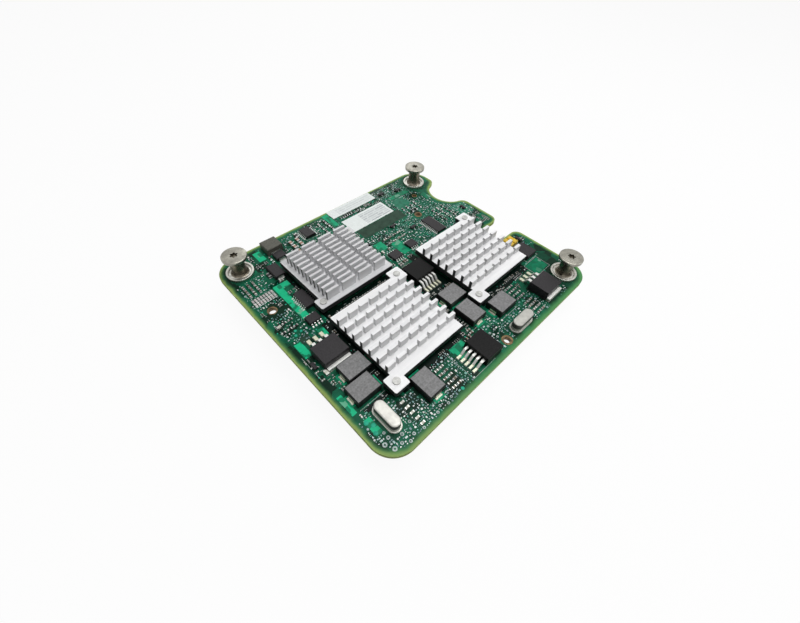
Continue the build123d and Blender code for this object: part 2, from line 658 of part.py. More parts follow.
def small_chips():
    """Every small chip by node name."""
    left_front = (SINK_LEFT_X, SINK_LEFT_Y)
    left_back = (SINK_LEFT_X, SINK_LEFT_BACK)
    right_front = (SINK_RIGHT_RIGHT, SINK_RIGHT_Y)
    middle_back = (MIDDLE_X, SINK_RIGHT_BACK)
    bay_field = (bay_field_x(), SINK_RIGHT_BACK)
    return {
        "memory_chip": [SmallChip(right_front, MEMORY_OFFSET, MEMORY_CASE, MEMORY_PINS)],
        "bus_buffer_chip": [SmallChip(bay_field, BUFFER_OFFSET, BUFFER_CASE, BUFFER_PINS)],
        "sensor_chip": [SmallChip(left_front, SENSOR_OFFSET, SENSOR_CASE, SENSOR_PINS, QUARTER_TURN)],
        "clock_chip": [SmallChip(left_back, CLOCK_OFFSET, CLOCK_CASE, CLOCK_PINS)],
        "logic_chips": [
            SmallChip(middle_back, LOGIC_WIDE_OFFSET, LOGIC_WIDE_CASE, LOGIC_WIDE_PINS, QUARTER_TURN),
            SmallChip(middle_back, LOGIC_SMALL_OFFSET, LOGIC_SMALL_CASE, LOGIC_SMALL_PINS, QUARTER_TURN),
            SmallChip(left_front, LOGIC_LONG_OFFSET, LOGIC_LONG_CASE, LOGIC_LONG_PINS),
        ],
    }


def broken_block(x, y, size):
    """A moulded block standing on the board, with its top edges broken."""
    body = Box(*size, align=CORNERED)
    body = chamfer(body.faces().sort_by(Axis.Z)[-1].edges(), BLOCK_CHAMFER)
    return spot(x, y) * body


def behind_left_sink(offset, size):
    """A moulded block set off from the back left corner of the comb-fin sink."""
    return broken_block(SINK_LEFT_X + offset[0], SINK_LEFT_BACK + offset[1], size)


def moulded_capacitors():
    """Two dark moulded capacitors at the back corner of the comb-fin sink."""
    return [
        behind_left_sink(MOULDED_CAPACITOR_OFFSET, MOULDED_CAPACITOR),
        behind_left_sink(ROUNDED_CAPACITOR_OFFSET, ROUNDED_CAPACITOR),
    ]


def yellow_capacitors():
    """Two yellow moulded capacitors side by side, next to the right sink."""
    step = YELLOW_CAPACITOR[0] + YELLOW_CAPACITOR_SPACE
    left = SINK_RIGHT_RIGHT + YELLOW_CAPACITOR_OFFSET[0]
    y = SINK_RIGHT_Y + YELLOW_CAPACITOR_OFFSET[1]
    return [broken_block(x, y, YELLOW_CAPACITOR) for x in (left, left + step)]


def chip_field(corner, offset, field, size, upright=False):
    """A field of chip capacitors or resistors, from a corner and the offset of its first one."""
    columns, rows, pitch_x, pitch_y = field
    length, width, height = size
    footprint = (width, length, height) if upright else (length, width, height)
    piece = Box(*footprint, align=CENTRED)
    x, y = corner[0] + offset[0], corner[1] + offset[1]
    return [
        spot(x + column * pitch_x, y + row * pitch_y) * piece
        for column in range(columns)
        for row in range(rows)
    ]


def transistor_field(y, size):
    """The columns that fit between the last inductor and the right power transistor."""
    last_inductor = inductor_places()[-1]
    left = last_inductor[0] + INDUCTOR_LENGTH / 2 + TERMINAL_FOOT + TRANSISTOR_FIELD_GAP + size[0] / 2
    right = power_place("power_transistor_right")[0] - POWER_WIDTH / 2 - TRANSISTOR_FIELD_GAP - size[0] / 2
    columns = max(0, int((right - left) / TRANSISTOR_PITCH[0] + 1))
    return chip_field((left, y), (0, 0), (columns, TRANSISTOR_ROWS, *TRANSISTOR_PITCH), size)


def bay_field_x():
    """Middle of the first column of the field beside the round bay."""
    columns, _, pitch, _ = BAY_FIELD
    last = BOARD_WIDTH - BAY_RADIUS - BAY_FIELD_GAP - RESISTOR_CHIP[1] / 2
    return last - (columns - 1) * pitch


def chip_capacitors():
    """Small ceramic capacitors in rows round the larger parts."""
    small = CAPACITOR_CHIP
    front_back = (SINK_LEFT_X, SINK_FRONT_BACK + SINK_EAR_OUT)
    left_back = (SINK_LEFT_X, SINK_LEFT_BACK)
    middle_back = (MIDDLE_X, SINK_RIGHT_BACK)
    return (
        chip_field(front_back, SINK_ROW_OFFSET, SINK_ROW, small, upright=True)
        + chip_field(LEFT_COLUMN_PLACE, (0, 0), LEFT_COLUMN, small)
        + chip_field(FRONT_FIELD_PLACE, (0, 0), FRONT_FIELD, small)
        + transistor_field(TRANSISTOR_CAPACITOR_Y, small)
        + chip_field(SCREW_PLACES["left"], LEFT_SCREW_FIELD_OFFSET, LEFT_SCREW_FIELD, small, upright=True)
        + chip_field(left_back, LARGE_COLUMNS_OFFSET, LARGE_COLUMNS, LARGE_CAPACITOR_CHIP, upright=True)
        + chip_field(middle_back, MIDDLE_FIELD_OFFSET, MIDDLE_FIELD, small)
    )


def chip_resistors():
    """Small flat resistors in rows, among them the two close rows by the left edge."""
    size = RESISTOR_CHIP
    left_front = (SINK_LEFT_X, SINK_LEFT_Y)
    left_back = (SINK_LEFT_X, SINK_LEFT_BACK)
    bay_field = (bay_field_x(), SINK_RIGHT_BACK)
    return (
        chip_field(SCREW_PLACES["left"], EDGE_ROWS_OFFSET, EDGE_ROWS, size, upright=True)
        + chip_field(left_front, SENSOR_FIELD_OFFSET, SENSOR_FIELD, size)
        + chip_field(bay_field, (0, BAY_FIELD_STEP), BAY_FIELD, size, upright=True)
        + chip_field(bay_field, BACK_FIELD_OFFSET, BACK_FIELD, size, upright=True)
        + transistor_field(TRANSISTOR_RESISTOR_Y, size)
        + chip_field(left_back, CLOCK_FIELD_OFFSET, CLOCK_FIELD, size, upright=True)
    )


def label(x, y, size):
    """A plain paper label on the board."""
    return block(x, y, (*size, LABEL_THICKNESS))


def write_nodes(nodes):
    """Write each node as a STEP file, a list of pieces as one group of separate solids."""
    os.makedirs("parts", exist_ok=True)
    for name, shape in nodes.items():
        if isinstance(shape, (list, tuple)):
            shape = Compound(children=[piece.solid() for piece in shape])
        export_step(shape, f"parts/{name}.step")


def card():
    """Every piece of the card by node name."""
    nodes = {
        "circuit_board": circuit_board(),
        "plug_housing": plug_housing(),
        "plug_contacts": plug_contacts(),
        "heat_sink_front": pin_fin_sink(SINK_FRONT_X, SINK_FRONT_Y),
        "heat_sink_right": pin_fin_sink(SINK_RIGHT_X, SINK_RIGHT_Y),
        "heat_sink_left": comb_fin_sink(),
        "heat_sink_anchors": sink_anchors(),
    }
    sinks = {
        "front": (SINK_FRONT_X, SINK_FRONT_Y, SINK_WIDTH, SINK_DEPTH),
        "right": (SINK_RIGHT_X, SINK_RIGHT_Y, SINK_WIDTH, SINK_DEPTH),
        "left": (SINK_LEFT_X, SINK_LEFT_Y, SINK_WIDTH, SINK_LEFT_DEPTH),
    }
    for side, base in sinks.items():
        nodes[f"controller_chip_{side}"] = square_under(*base, CHIP_SIZE, CHIP_HEIGHT, 0)
        nodes[f"thermal_pad_{side}"] = square_under(*base, PAD_SIZE, PAD_THICKNESS, CHIP_HEIGHT)
    for side, place in SCREW_PLACES.items():
        nodes[f"screw_ferrule_{side}"] = screw_ferrule(place)
        nodes[f"captive_screw_{side}"] = captive_screw(place)
        nodes[f"retaining_clip_{side}"] = retaining_clip(place)
    terminals = []
    for number, place in enumerate(inductor_places(), start=1):
        nodes[f"power_inductor_{number}"] = power_inductor(*place)
        terminals += inductor_terminals(*place)
    nodes["inductor_terminals"] = terminals
    for name in ("power_transistor_left", "power_transistor_right"):
        nodes[name] = power_package(name)
        nodes[f"{name}_leads"] = power_leadframe(name, 3, TRANSISTOR_LEAD_PITCH, TRANSISTOR_LEAD_WIDTH)
    for name in ("regulator_front", "regulator_back"):
        nodes[name] = power_package(name)
        nodes[f"{name}_leads"] = power_leadframe(name, 5, REGULATOR_LEAD_PITCH, REGULATOR_LEAD_WIDTH)
    nodes["crystal_left"] = crystal_can(*CRYSTAL_LEFT_PLACE, QUARTER_TURN)
    nodes["crystal_front"] = crystal_can(SINK_RIGHT_X + CRYSTAL_FRONT_STEP, CRYSTAL_FRONT_Y, 0)
    pins = []
    for name, chips in small_chips().items():
        cases = [chip.case() for chip in chips]
        nodes[name] = cases if len(cases) > 1 else cases[0]
        pins += [pin for chip in chips for pin in chip.pin_rows()]
    nodes["chip_pins"] = pins
    nodes["tall_capacitor"] = behind_left_sink(TALL_CAPACITOR_OFFSET, TALL_CAPACITOR)
    nodes["moulded_capacitors"] = moulded_capacitors()
    nodes["yellow_capacitors"] = yellow_capacitors()
    nodes["chip_capacitors"] = chip_capacitors()
    nodes["chip_resistors"] = chip_resistors()
    edge_label_y = BOARD_DEPTH - EDGE_LABEL_INSET - EDGE_LABEL[1]
    nodes["edge_label"] = label(LABEL_X, edge_label_y, EDGE_LABEL)
    main_label_y = edge_label_y - LABEL_GAP - MAIN_LABEL[1]
    nodes["main_label"] = label(LABEL_X + LABEL_STEP, main_label_y, MAIN_LABEL)
    return nodes


write_nodes(card())
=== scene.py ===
"""Looks of a mezzanine network card.

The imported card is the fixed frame. Each operator dresses one piece or one group of like pieces, and the last
one sets the stage. Places on the board are in millimetres from its plain corner, as on a layout drawing.
"""

import math
from functools import lru_cache

import bmesh
import bpy
import numpy as np
from bpy.props import FloatProperty, FloatVectorProperty, IntProperty, PointerProperty
from mathutils import Matrix, Vector


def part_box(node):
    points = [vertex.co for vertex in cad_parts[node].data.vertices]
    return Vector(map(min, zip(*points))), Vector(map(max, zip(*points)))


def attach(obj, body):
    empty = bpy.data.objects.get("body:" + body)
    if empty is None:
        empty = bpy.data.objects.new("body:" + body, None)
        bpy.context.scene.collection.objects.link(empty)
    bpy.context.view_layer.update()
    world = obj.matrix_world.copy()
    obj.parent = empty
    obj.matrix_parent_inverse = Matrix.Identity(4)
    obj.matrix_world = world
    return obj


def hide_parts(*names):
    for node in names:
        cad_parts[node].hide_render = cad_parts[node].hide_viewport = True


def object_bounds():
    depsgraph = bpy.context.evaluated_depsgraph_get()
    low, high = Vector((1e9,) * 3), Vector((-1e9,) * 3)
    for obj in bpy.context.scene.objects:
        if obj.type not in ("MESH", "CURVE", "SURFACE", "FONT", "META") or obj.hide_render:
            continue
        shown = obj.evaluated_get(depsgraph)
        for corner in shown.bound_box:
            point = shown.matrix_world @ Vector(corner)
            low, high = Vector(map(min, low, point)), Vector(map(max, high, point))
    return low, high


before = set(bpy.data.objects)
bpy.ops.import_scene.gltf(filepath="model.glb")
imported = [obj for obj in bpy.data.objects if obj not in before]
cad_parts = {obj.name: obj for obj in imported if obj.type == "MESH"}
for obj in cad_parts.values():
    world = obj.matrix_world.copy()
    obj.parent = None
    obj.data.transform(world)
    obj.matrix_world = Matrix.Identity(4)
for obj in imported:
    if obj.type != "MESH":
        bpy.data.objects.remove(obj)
CAD_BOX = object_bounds()

bl_info = {
    "name": "Mezzanine Card Looks",
    "version": (1, 1, 0),
    "blender": (4, 5, 0),
    "location": "3D View > Sidebar > Card",
    "description": "Finishes and fine detail for a mezzanine network card",
    "category": "Object",
}

MM = 0.001
BOARD_LOW, BOARD_HIGH = (np.array(corner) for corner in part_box("circuit_board"))
BOARD_TOP = BOARD_HIGH[2]
BOARD_UNDERSIDE = BOARD_LOW[2]
BOARD_WIDTH, BOARD_DEPTH = (BOARD_HIGH - BOARD_LOW)[:2] / MM
SIDES = ("left", "back", "right")
SINKS = ("front", "right", "left")
SHARP_ANGLE = math.radians(38)
WELD_DISTANCE = 1e-7
LAYOUT_STEP = 0.1

# The board's outline: corner radius, then the bay's radius and place, then the slot's half sizes, radius and
# place, and how far the bare rim rounds off where the cuts meet the edge
CORNER_RADIUS = 8.8
BAY_RADIUS = 9.6
BAY_PLACE = (112.0, 77.5)
SLOT_HALF = (12.0, 5.0)
SLOT_RADIUS = 3.0
SLOT_PLACE = (112.0, 42.0)
LIP_BLEND = 5.0

# How many triangles each solid of a grouped node has, and a heat slug and a lead of a power package
SOLID_TRIANGLES = {
    "chip_pins": 12,
    "chip_capacitors": 12,
    "chip_resistors": 12,
    "inductor_terminals": 20,
    "logic_chips": 20,
    "moulded_capacitors": 20,
    "yellow_capacitors": 20,
}
SLUG_TRIANGLES = 12
LEAD_TRIANGLES = 28
NOT_STANDING = ("circuit_board", "plug", "thermal_pad", "controller_chip", "retaining_clip", "heat_sink")

# Heat sinks: how far their ears stand out along X and Y and the ears' side, then the base's top above the board
SINK_EARS = {"front": (3.0, 3.0, 6.0), "right": (3.0, 3.0, 6.0), "left": (2.1, 0.0, 4.9)}
SINK_BASE_TOP = 3.9

# Plated holes: place and diameter, then how far each eyelet's flange stands out, and its wall
TOOLING_HOLES = ((58.7, 3.8, 2.6), (6.3, 68.6, 3.0), (86.3, 73.6, 2.4), (95.6, 85.2, 1.8))
EYELET_FLANGES = (0.75, 0.35, 0.55, 0.35)
EYELET_WALL = 0.06

# Room under a captive screw's head, so that it can turn, and beside its clip in the groove
HEAD_GAP = 0.02 * MM
CLIP_ROOM = 0.05 * MM

# Points round a via, a pad, an eyelet, a turned piece and half a can, and the points of one block
VIA_SIDES = 10
PAD_SIDES = 20
EYELET_SIDES = 40
TURNED_SIDES = 96
CAN_SIDES = 20
BLOCK_POINTS = 12

# Corners of a flat strip's section: the side of its middle line, and the share of its thickness
STRIP_SIDES = np.array([-1.0, -1.0, 1.0, 1.0])
STRIP_RISE = np.array([0.0, 1.0, 1.0, 0.0])

# Plating: height of the thin plates, radii of a via's ring and of a tented via, and the shares of vias that are
# bare and of test pads that are round
PLATE_HEIGHT = 0.035 * MM
VIA_RING = (0.12 * MM, 0.28 * MM)
TENTED_RADIUS = 0.27 * MM
BARE_VIAS = 0.45
ROUND_PADS = 0.2

# Solder pads: how far they stand out round a foot, and their height
SOLDER_PAD = (0.12 * MM, 0.05 * MM)

# An inductor's land: how far it stands out, then the heights of a land and of a trace as shares of the copper's
LAND_MARGIN = 0.8 * MM
LAND_SHARE = 1.4
TRACE_SHARE = 0.8

# A plain dark band that carries no loose parts
PLAIN_BAND = (57.0, 76.6, 81.6, 82.6)

# Bright copper areas under the solder mask, plain dark ones and teal ones: two opposite corners of each
COPPER_AREAS = (
    (12.2, 58.0, 15.0, 78.0), (15.0, 75.0, 18.4, 78.0), (51.5, 91.4, 54.4, 101.0), (62.5, 58.6, 67.0, 67.5),
    (94.8, 14.4, 103.0, 20.4), (3.4, 44.0, 6.0, 51.0), (12.6, 47.4, 15.2, 51.0), (41.0, 9.6, 44.4, 12.6),
    (16.0, 93.0, 19.0, 99.0), (98.6, 79.6, 101.4, 84.6), (84.0, 89.6, 96.0, 92.0), (56.2, 66.0, 60.4, 71.0),
    (3.2, 9.6, 5.6, 15.6), (50.6, 2.9, 55.0, 5.4), (40.4, 12.6, 46.6, 14.9), (2.0, 18.8, 3.8, 26.6),
)
DARK_AREAS = ((80.4, 94.8, 86.4, 101.2), (17.0, 79.0, 18.4, 83.0), (6.0, 49.5, 9.6, 52.8), PLAIN_BAND)
TEAL_AREAS = ((82.4, 80.4, 90.6, 89.2), (102.0, 58.8, 109.4, 67.4))

# Painted shadow: near-black mask laid beside the heat sinks and some other tall parts, where their shade falls
SHADOW_PAINTED_AREAS = (
    (18.4, 49.4, 52.6, 54.8), (15.2, 15.4, 18.4, 52.0), (18.4, 13.6, 40.0, 17.4), (40.0, 15.0, 49.6, 17.4),
    (49.0, 17.4, 53.8, 42.2), (49.0, 42.2, 51.2, 49.4), (53.8, 33.3, 62.0, 42.2), (62.0, 22.6, 65.2, 57.0),
    (64.6, 18.6, 94.4, 22.6), (18.4, 54.8, 20.4, 84.0), (5.4, 16.6, 15.0, 18.2),
)

# Areas left bare, and areas that are filled more closely than the rest, with their share
BARE_AREAS = (
    (0.0, 16.0, 3.4, 33.0), (0.0, 48.0, 3.0, 58.0), (84.0, 0.0, 92.0, 2.8), (28.0, 0.0, 56.0, 1.9),
    (104.0, 14.0, 110.0, 26.0), (99.0, 86.0, 104.0, 90.0), PLAIN_BAND, (83.4, 81.4, 89.6, 88.2),
)
DENSE_AREAS = (
    (18.0, 4.0, 22.5, 13.5, 1.0), (30.0, 3.0, 38.0, 15.6, 1.0), (73.0, 2.0, 84.0, 22.0, 0.95),
    (3.0, 56.0, 12.0, 67.0, 1.0), (2.0, 78.0, 12.0, 90.0, 0.95), (28.0, 87.0, 52.0, 101.0, 0.9),
    (56.0, 57.0, 101.0, 96.0, 0.9), (84.0, 13.0, 94.0, 22.0, 0.9), (2.0, 1.5, 16.0, 9.0, 0.6),
)

# Ring pads and teal mask pads: place and diameter
RING_PADS = (
    (3.3, 6.3, 1.5), (4.6, 3.6, 1.5), (9.0, 5.2, 1.2), (7.2, 3.4, 1.1), (9.4, 2.1, 1.1), (5.4, 7.2, 1.2),
    (11.6, 3.0, 1.1), (13.2, 6.4, 1.0), (5.4, 9.0, 0.9), (15.0, 2.2, 1.0), (57.3, 7.0, 0.9), (56.5, 9.7, 0.9),
    (59.0, 9.7, 0.9), (58.5, 12.0, 0.9), (26.0, 2.4, 1.0), (28.2, 3.2, 0.9), (21.4, 2.6, 1.0), (23.4, 3.6, 0.9),
)
MASK_PADS = (
    (3.6, 14.6, 1.5), (4.7, 12.7, 1.5), (3.7, 10.6, 1.5), (8.5, 58.0, 1.0), (7.3, 55.8, 1.0), (6.3, 54.0, 1.0),
    (8.7, 54.4, 1.0), (24.6, 6.2, 1.0), (33.0, 2.6, 1.2),
)

# Areas sown with small pads: two opposite corners and how many are tried
PAD_AREAS = (
    (1.8, 1.6, 16.0, 8.0, 2600), (1.8, 6.0, 6.4, 17.0, 500), (14.0, 1.6, 32.0, 8.0, 2400),
    (28.0, 2.0, 39.0, 15.0, 800), (60.0, 2.0, 84.0, 12.0, 900), (82.0, 2.0, 99.0, 4.0, 120),
    (3.0, 50.0, 12.0, 66.0, 500), (54.0, 2.0, 62.0, 14.0, 300), (96.0, 20.0, 108.0, 36.0, 300),
    (90.0, 58.0, 110.0, 72.0, 1200), (56.0, 58.0, 84.0, 76.0, 1400), (12.0, 6.0, 22.0, 15.0, 700),
    (80.0, 70.0, 100.0, 100.0, 1600), (28.0, 86.0, 56.0, 101.0, 500), (2.0, 70.0, 12.4, 88.0, 700),
)

# Silk lines: start, end
SILK_LINES = (
    ((38.3, 2.2), (38.3, 15.6)), ((38.3, 2.2), (49.6, 2.2)), ((94.4, 14.0), (103.4, 14.0)),
    ((94.4, 14.0), (94.4, 20.8)), ((103.4, 14.0), (103.4, 20.8)), ((94.4, 20.8), (103.4, 20.8)),
    ((80.0, 94.4), (86.8, 94.4)), ((80.0, 94.4), (80.0, 100.6)), ((86.8, 94.4), (86.8, 100.6)),
    ((2.5, 34.0), (2.5, 38.0)), ((2.5, 40.0), (2.5, 45.0)), ((44.2, 90.0), (44.2, 99.6)),
    ((50.6, 90.0), (50.6, 99.6)), ((56.4, 59.0), (56.4, 63.0)), ((12.0, 57.6), (15.2, 57.6)),
)

# Single small parts read from the photograph: place, length, width, height, quarter turns, kind and tint
LISTED_PARTS = (
    (5.2, 35.5, 2.0, 1.3, 0.8, 1, "capacitor", 0.95), (3.9, 60.3, 1.6, 1.0, 0.8, 0, "capacitor", 0.95),
    (56.4, 65.0, 1.6, 0.8, 0.6, 1, "capacitor", 0.95), (35.6, 96.6, 2.6, 1.5, 1.0, 1, "resistor", 0.2),
    (9.0, 92.4, 1.6, 0.8, 0.6, 0, "capacitor", 0.5), (14.6, 84.0, 2.2, 1.3, 0.9, 1, "resistor", 0.1),
)

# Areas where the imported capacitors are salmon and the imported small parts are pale, and those tints
SALMON_AREA = (29.0, 86.0, 37.0, 97.0)
SALMON_TINT = 0.8
PALE_AREAS = ((13.6, 2.4, 17.4, 14.2), (1.8, 72.0, 12.4, 78.6))
PALE_TINT = 0.95

# Loose chip parts: length, width, height and kind, which is 0 for a capacitor and 1 for a resistor
CHIP_KINDS = (
    (1.0, 0.5, 0.45, 0), (1.0, 0.5, 0.34, 1), (1.0, 0.5, 0.45, 0), (1.6, 0.8, 0.7, 0), (1.6, 0.8, 0.42, 1),
    (0.6, 0.3, 0.3, 0),
)

# Their rows: parts in a row, room between them and round the row, and the share kept outside the dense areas
ROW_COUNTS = (1, 1, 2, 2, 3, 4, 6)
ROW_GAPS = (0.32, 0.7)
ROW_ROOM = 0.24
PLAIN_SHARE = 0.6

# Square cells in which most rows lean one way: side, cells along the board, and the share that follow
CELL_SIDE = 10
CELL_COUNT = 12
CELL_SHARE = 0.8

# How far up the tints of capacitors and resistors are drawn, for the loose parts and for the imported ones
LOOSE_TINTS = (0.8, 0.92)
PACKED_TINTS = (0.7, 0.9)

# Room kept free on the board: along its outline for parts and traces, then round what stands there
TOP_RIM = 1.7
UNDERSIDE_RIM = 2.5
TRACE_RIM = 2.0
SINK_ROOM = 0.25
NODE_ROOM = 0.3
HOLE_ROOM = 0.9
TRACE_HOLE_ROOM = 0.8
PAD_ROOM = 0.15
PART_ROOM = 0.2
UNDERSIDE_ROOM = 1.2

# Loose single things: how many are tried, their size and the gap round them; a look counts the top's vias
TRANSISTOR_SPOTS = (260, (2.4, 2.9), 0.25)
MARK_SPOTS = (500, (1.2, 0.14), 0.08)
VIA_SPOTS = ((0.6, 0.6), 0.06)
UNDERSIDE_VIAS = (1200, (0.7, 0.7), 0.3)

# Rows of chips on the underside: how many are tried, and the gap round them
UNDERSIDE_ROWS = (1100, 0.5)

# Loose pads: diameters, and the gap round them
PAD_DIAMETERS = (0.4, 0.5, 0.6, 0.7, 0.9)
LOOSE_PAD_ROOM = 0.05

# Bundles of traces: shortest and longest run, and how many traces they have, the last not counted
TRACE_RUNS = (3.0, 14.0)
TRACE_COUNTS = (2, 8)

# Colours of small parts along their tints, as places and colours
CAPACITOR_STOPS = (
    (0.0, (0.16, 0.125, 0.085)), (0.2, (0.24, 0.21, 0.16)), (0.38, (0.060, 0.052, 0.036)),
    (0.55, (0.25, 0.25, 0.22)), (0.76, (0.46, 0.26, 0.20)), (0.86, (0.74, 0.74, 0.64)),
)
RESISTOR_STOPS = (
    (0.0, (0.010, 0.010, 0.011)), (0.5, (0.022, 0.026, 0.030)), (0.75, (0.05, 0.045, 0.035)),
    (0.86, (0.62, 0.56, 0.56)),
)
PAD_STOPS = (
    (0.0, (0.10, 0.18, 0.19)), (0.2, (0.22, 0.32, 0.36)), (0.4, (0.08, 0.40, 0.28)), (0.55, (0.42, 0.54, 0.56)),
    (0.75, (0.66, 0.72, 0.72)), (1.0, (0.88, 0.89, 0.86)),
)
CAP_STOPS = ((0.0, (0.22, 0.225, 0.215)), (0.45, (0.48, 0.49, 0.47)), (1.0, (0.86, 0.86, 0.80)))

# Fixed colours: stain on tin, mottle of small parts, pale fibre, studs, thermal pads, ring pads, and an
# inductor's terminals where they are bright and where they are in shade
TIN_STAIN = (0.06, 0.06, 0.03)
MOTTLE = (0.02, 0.02, 0.02)
PALE_FIBRE = (0.50, 0.60, 0.20)
STUD_METAL = (0.52, 0.52, 0.50)
PAD_GREY = (0.30, 0.31, 0.34)
RING_PAD_TIN = (0.40, 0.47, 0.46)
TERMINAL_PALE = (0.80, 0.81, 0.66)
TERMINAL_DARK = (0.015, 0.016, 0.012)

# Lamps: name, the look that gives the power, place and side
LAMPS = (
    ("overhead", "key_power", (0.10, -0.05, 0.55), 0.42),
    ("front_fill", "fill_power", (0.35, -0.45, 0.35), 0.35),
    ("back_light", "rim_power", (0.30, 0.45, 0.35), 0.35),
)

# Floor: the share of plain white in what looks straight at it, and how far it lies below the card
FLOOR_WHITE = 0.94
FLOOR_DROP = 0.02 * MM

# Camera solved from the board's corners in the photograph: place, axis and up, then its sensor and its range
CAMERA_PLACE = (-0.077547, -0.069489, 0.114723)
CAMERA_AXIS = (0.46307, 0.42501, -0.77777)
CAMERA_UP = (0.52160, 0.57880, 0.62684)
SENSOR_WIDTH = 36.0
CAMERA_RANGE = (0.005, 50.0)


def colour_property(name, description, default):
    """A colour that a user would change."""
    return FloatVectorProperty(
        name=name, description=description, default=default, size=3, subtype="COLOR", min=0.0, max=1.0,
    )


def length_property(name, description, millimetres):
    """A length that a user would change."""
    return FloatProperty(
        name=name, description=description, default=millimetres * MM, min=0.0, unit="LENGTH", precision=5,
    )


def power_property(name, description, default):
    """A lamp's power that a user would change."""
    return FloatProperty(name=name, description=description, default=default, unit="POWER")


def count_property(name, description, default):
    """A count that a user would change."""
    return IntProperty(name=name, description=description, default=default, min=0)


class BoardLook(bpy.types.PropertyGroup):
    """Colours and fine sizes of the bare board."""

    mask: colour_property("Solder mask", "Colour of the solder mask over bare fibre", (0.003, 0.026, 0.013))
    mask_on_copper: colour_property("Mask on copper", "Colour of the mask over copper", (0.008, 0.135, 0.070))
    bright_copper: colour_property("Bright copper", "Colour of large copper areas", (0.010, 0.340, 0.165))
    fibre: colour_property("Board edge", "Colour of the cut glass fibre edge", (0.300, 0.390, 0.110))
    lime: colour_property("Rim", "Colour of the bare fibre along the outline", (0.290, 0.390, 0.110))
    green_rim: colour_property("Inner rim", "Colour where the mask thins out to the rim", (0.045, 0.210, 0.075))
    plain_mask: colour_property("Plain mask", "Solder mask over plain dark areas", (0.026, 0.062, 0.040))
    teal_mask: colour_property("Teal mask", "Solder mask over the teal areas", (0.030, 0.190, 0.115))
    # Painted shadow: the near-black colour laid beside the heat sinks and tall parts
    painted_shadow_colour: colour_property("Keep-out", "Mask beside the heat sinks, over bare fibre", (0.0012, 0.007, 0.0045))
    silk: colour_property("Silkscreen", "Colour of the printed lines", (0.46, 0.54, 0.50))
    rim_width: length_property("Rim width", "Width of the bare fibre along the outline", 1.25)
    silk_width: length_property("Silk width", "Width of a printed line", 0.14)
    silk_thickness: length_property("Silk thickness", "Height of the print", 0.03)
    copper_thickness: length_property("Copper thickness", "Height of copper under the mask", 0.028)
    trace_width: length_property("Trace width", "Width of a trace", 0.2)
    trace_pitch: length_property("Trace pitch", "Distance between traces of a bundle", 0.42)
    bundles: count_property("Bundles", "Bundles of traces tried on each face", 420)


class PartLook(bpy.types.PropertyGroup):
    """Colours and counts of the parts on the board."""

    inductor_top: colour_property("Inductor top", "Ground top of an inductor", (0.235, 0.235, 0.236))
    inductor_side: colour_property("Inductor side", "Coated side of an inductor", (0.006, 0.006, 0.006))
    package: colour_property("Package", "Moulding compound of the packages", (0.016, 0.014, 0.016))
    dark_package: colour_property("Dark package", "Moulding compound of the regulators", (0.006, 0.006, 0.006))
    olive: colour_property("Tall capacitor", "Case of the tall capacitor", (0.100, 0.100, 0.082))
    yellow: colour_property("Yellow capacitor", "Case of the yellow capacitors", (0.700, 0.470, 0.050))
    plug: colour_property("Plug", "Moulding of the plug", (0.016, 0.016, 0.017))
    paper: colour_property("Label", "Paper of the labels", (0.85, 0.90, 0.88))
    label_print: colour_property("Label field", "Pale field printed on a label", (0.34, 0.36, 0.39))
    chip_tries: count_property("Small parts", "Rows of small parts tried", 13000)
    via_tries: count_property("Vias", "Vias tried between the parts", 3200)
    seed: count_property("Seed", "Seed of the small parts' layout", 11)


class MetalLook(bpy.types.PropertyGroup):
    """Colours of the bare metals."""

    bright_sink: colour_property("Bright sink", "Aluminium of the pin-fin sinks", (0.92, 0.92, 0.925))
    grey_sink: colour_property("Grey sink", "Aluminium of the comb-fin sink", (0.72, 0.72, 0.73))
    # Painted shade: the near-black colour on the sides of the sink bases and the outer ends of their fins
    painted_sink_shade: colour_property("Sawn face", "Aluminium where it was sawn across", (0.020, 0.020, 0.021))
    tin: colour_property("Tin", "Leads and terminals", (0.80, 0.80, 0.77))
    dull_tin: colour_property("Dull tin", "Ends of the small parts", (0.50, 0.51, 0.49))
    solder: colour_property("Solder", "Solder fillets and pads", (0.42, 0.44, 0.44))
    nickel: colour_property("Nickel", "Captive screws and their clips", (0.30, 0.29, 0.25))
    sleeve: colour_property("Sleeve", "Sleeves of the captive screws", (0.46, 0.45, 0.41))
    can: colour_property("Crystal can", "Drawn cans of the crystals", (0.86, 0.85, 0.78))
    gold: colour_property("Gold", "Contacts of the plug", (0.70, 0.52, 0.22))
    copper: colour_property("Copper", "Plating of the tooling holes", (0.085, 0.055, 0.026))
    thread_pitch: length_property("Thread pitch", "Pitch of the captive screws' thread", 0.6)
    thread_depth: length_property("Thread depth", "Depth of the captive screws' thread", 0.28)


class StageLook(bpy.types.PropertyGroup):
    """Floor, light and camera."""

    floor: colour_property("Floor", "Colour of the floor", (0.93, 0.93, 0.93))
    floor_side: length_property("Floor side", "Side of the floor", 6000.0)
    key_power: power_property("Key light", "Power of the overhead light", 2.5)
    fill_power: power_property("Fill light", "Power of the front light", 0.7)
    rim_power: power_property("Back light", "Power of the light behind", 0.4)
    sky: FloatProperty(name="Sky", description="Strength of the surrounding light", default=0.08, min=0.0)
    lens: FloatProperty(name="Lens", description="Focal length", default=16.455, min=1.0, unit="CAMERA")


def ring_quads(rows, columns):
    """Quads between each ring of points and the next, closed round the ring."""
    row, column = np.meshgrid(np.arange(rows - 1), np.arange(columns), indexing="ij")
    after = (column + 1) % columns
    lower, upper = row * columns, (row + 1) * columns
    return np.stack([lower + column, lower + after, upper + after, upper + column], axis=-1).reshape(-1, 4)


def capped_rings(rings, way=1):
    """Quads of a shape with four corners to a ring and both ends closed, the ends wound either way."""
    last = 4 * (rings - 1)
    ends = np.array([(3, 2, 1, 0), (last, last + 1, last + 2, last + 3)])
    return np.concatenate([ring_quads(rings, 4), ends[:, ::way]])


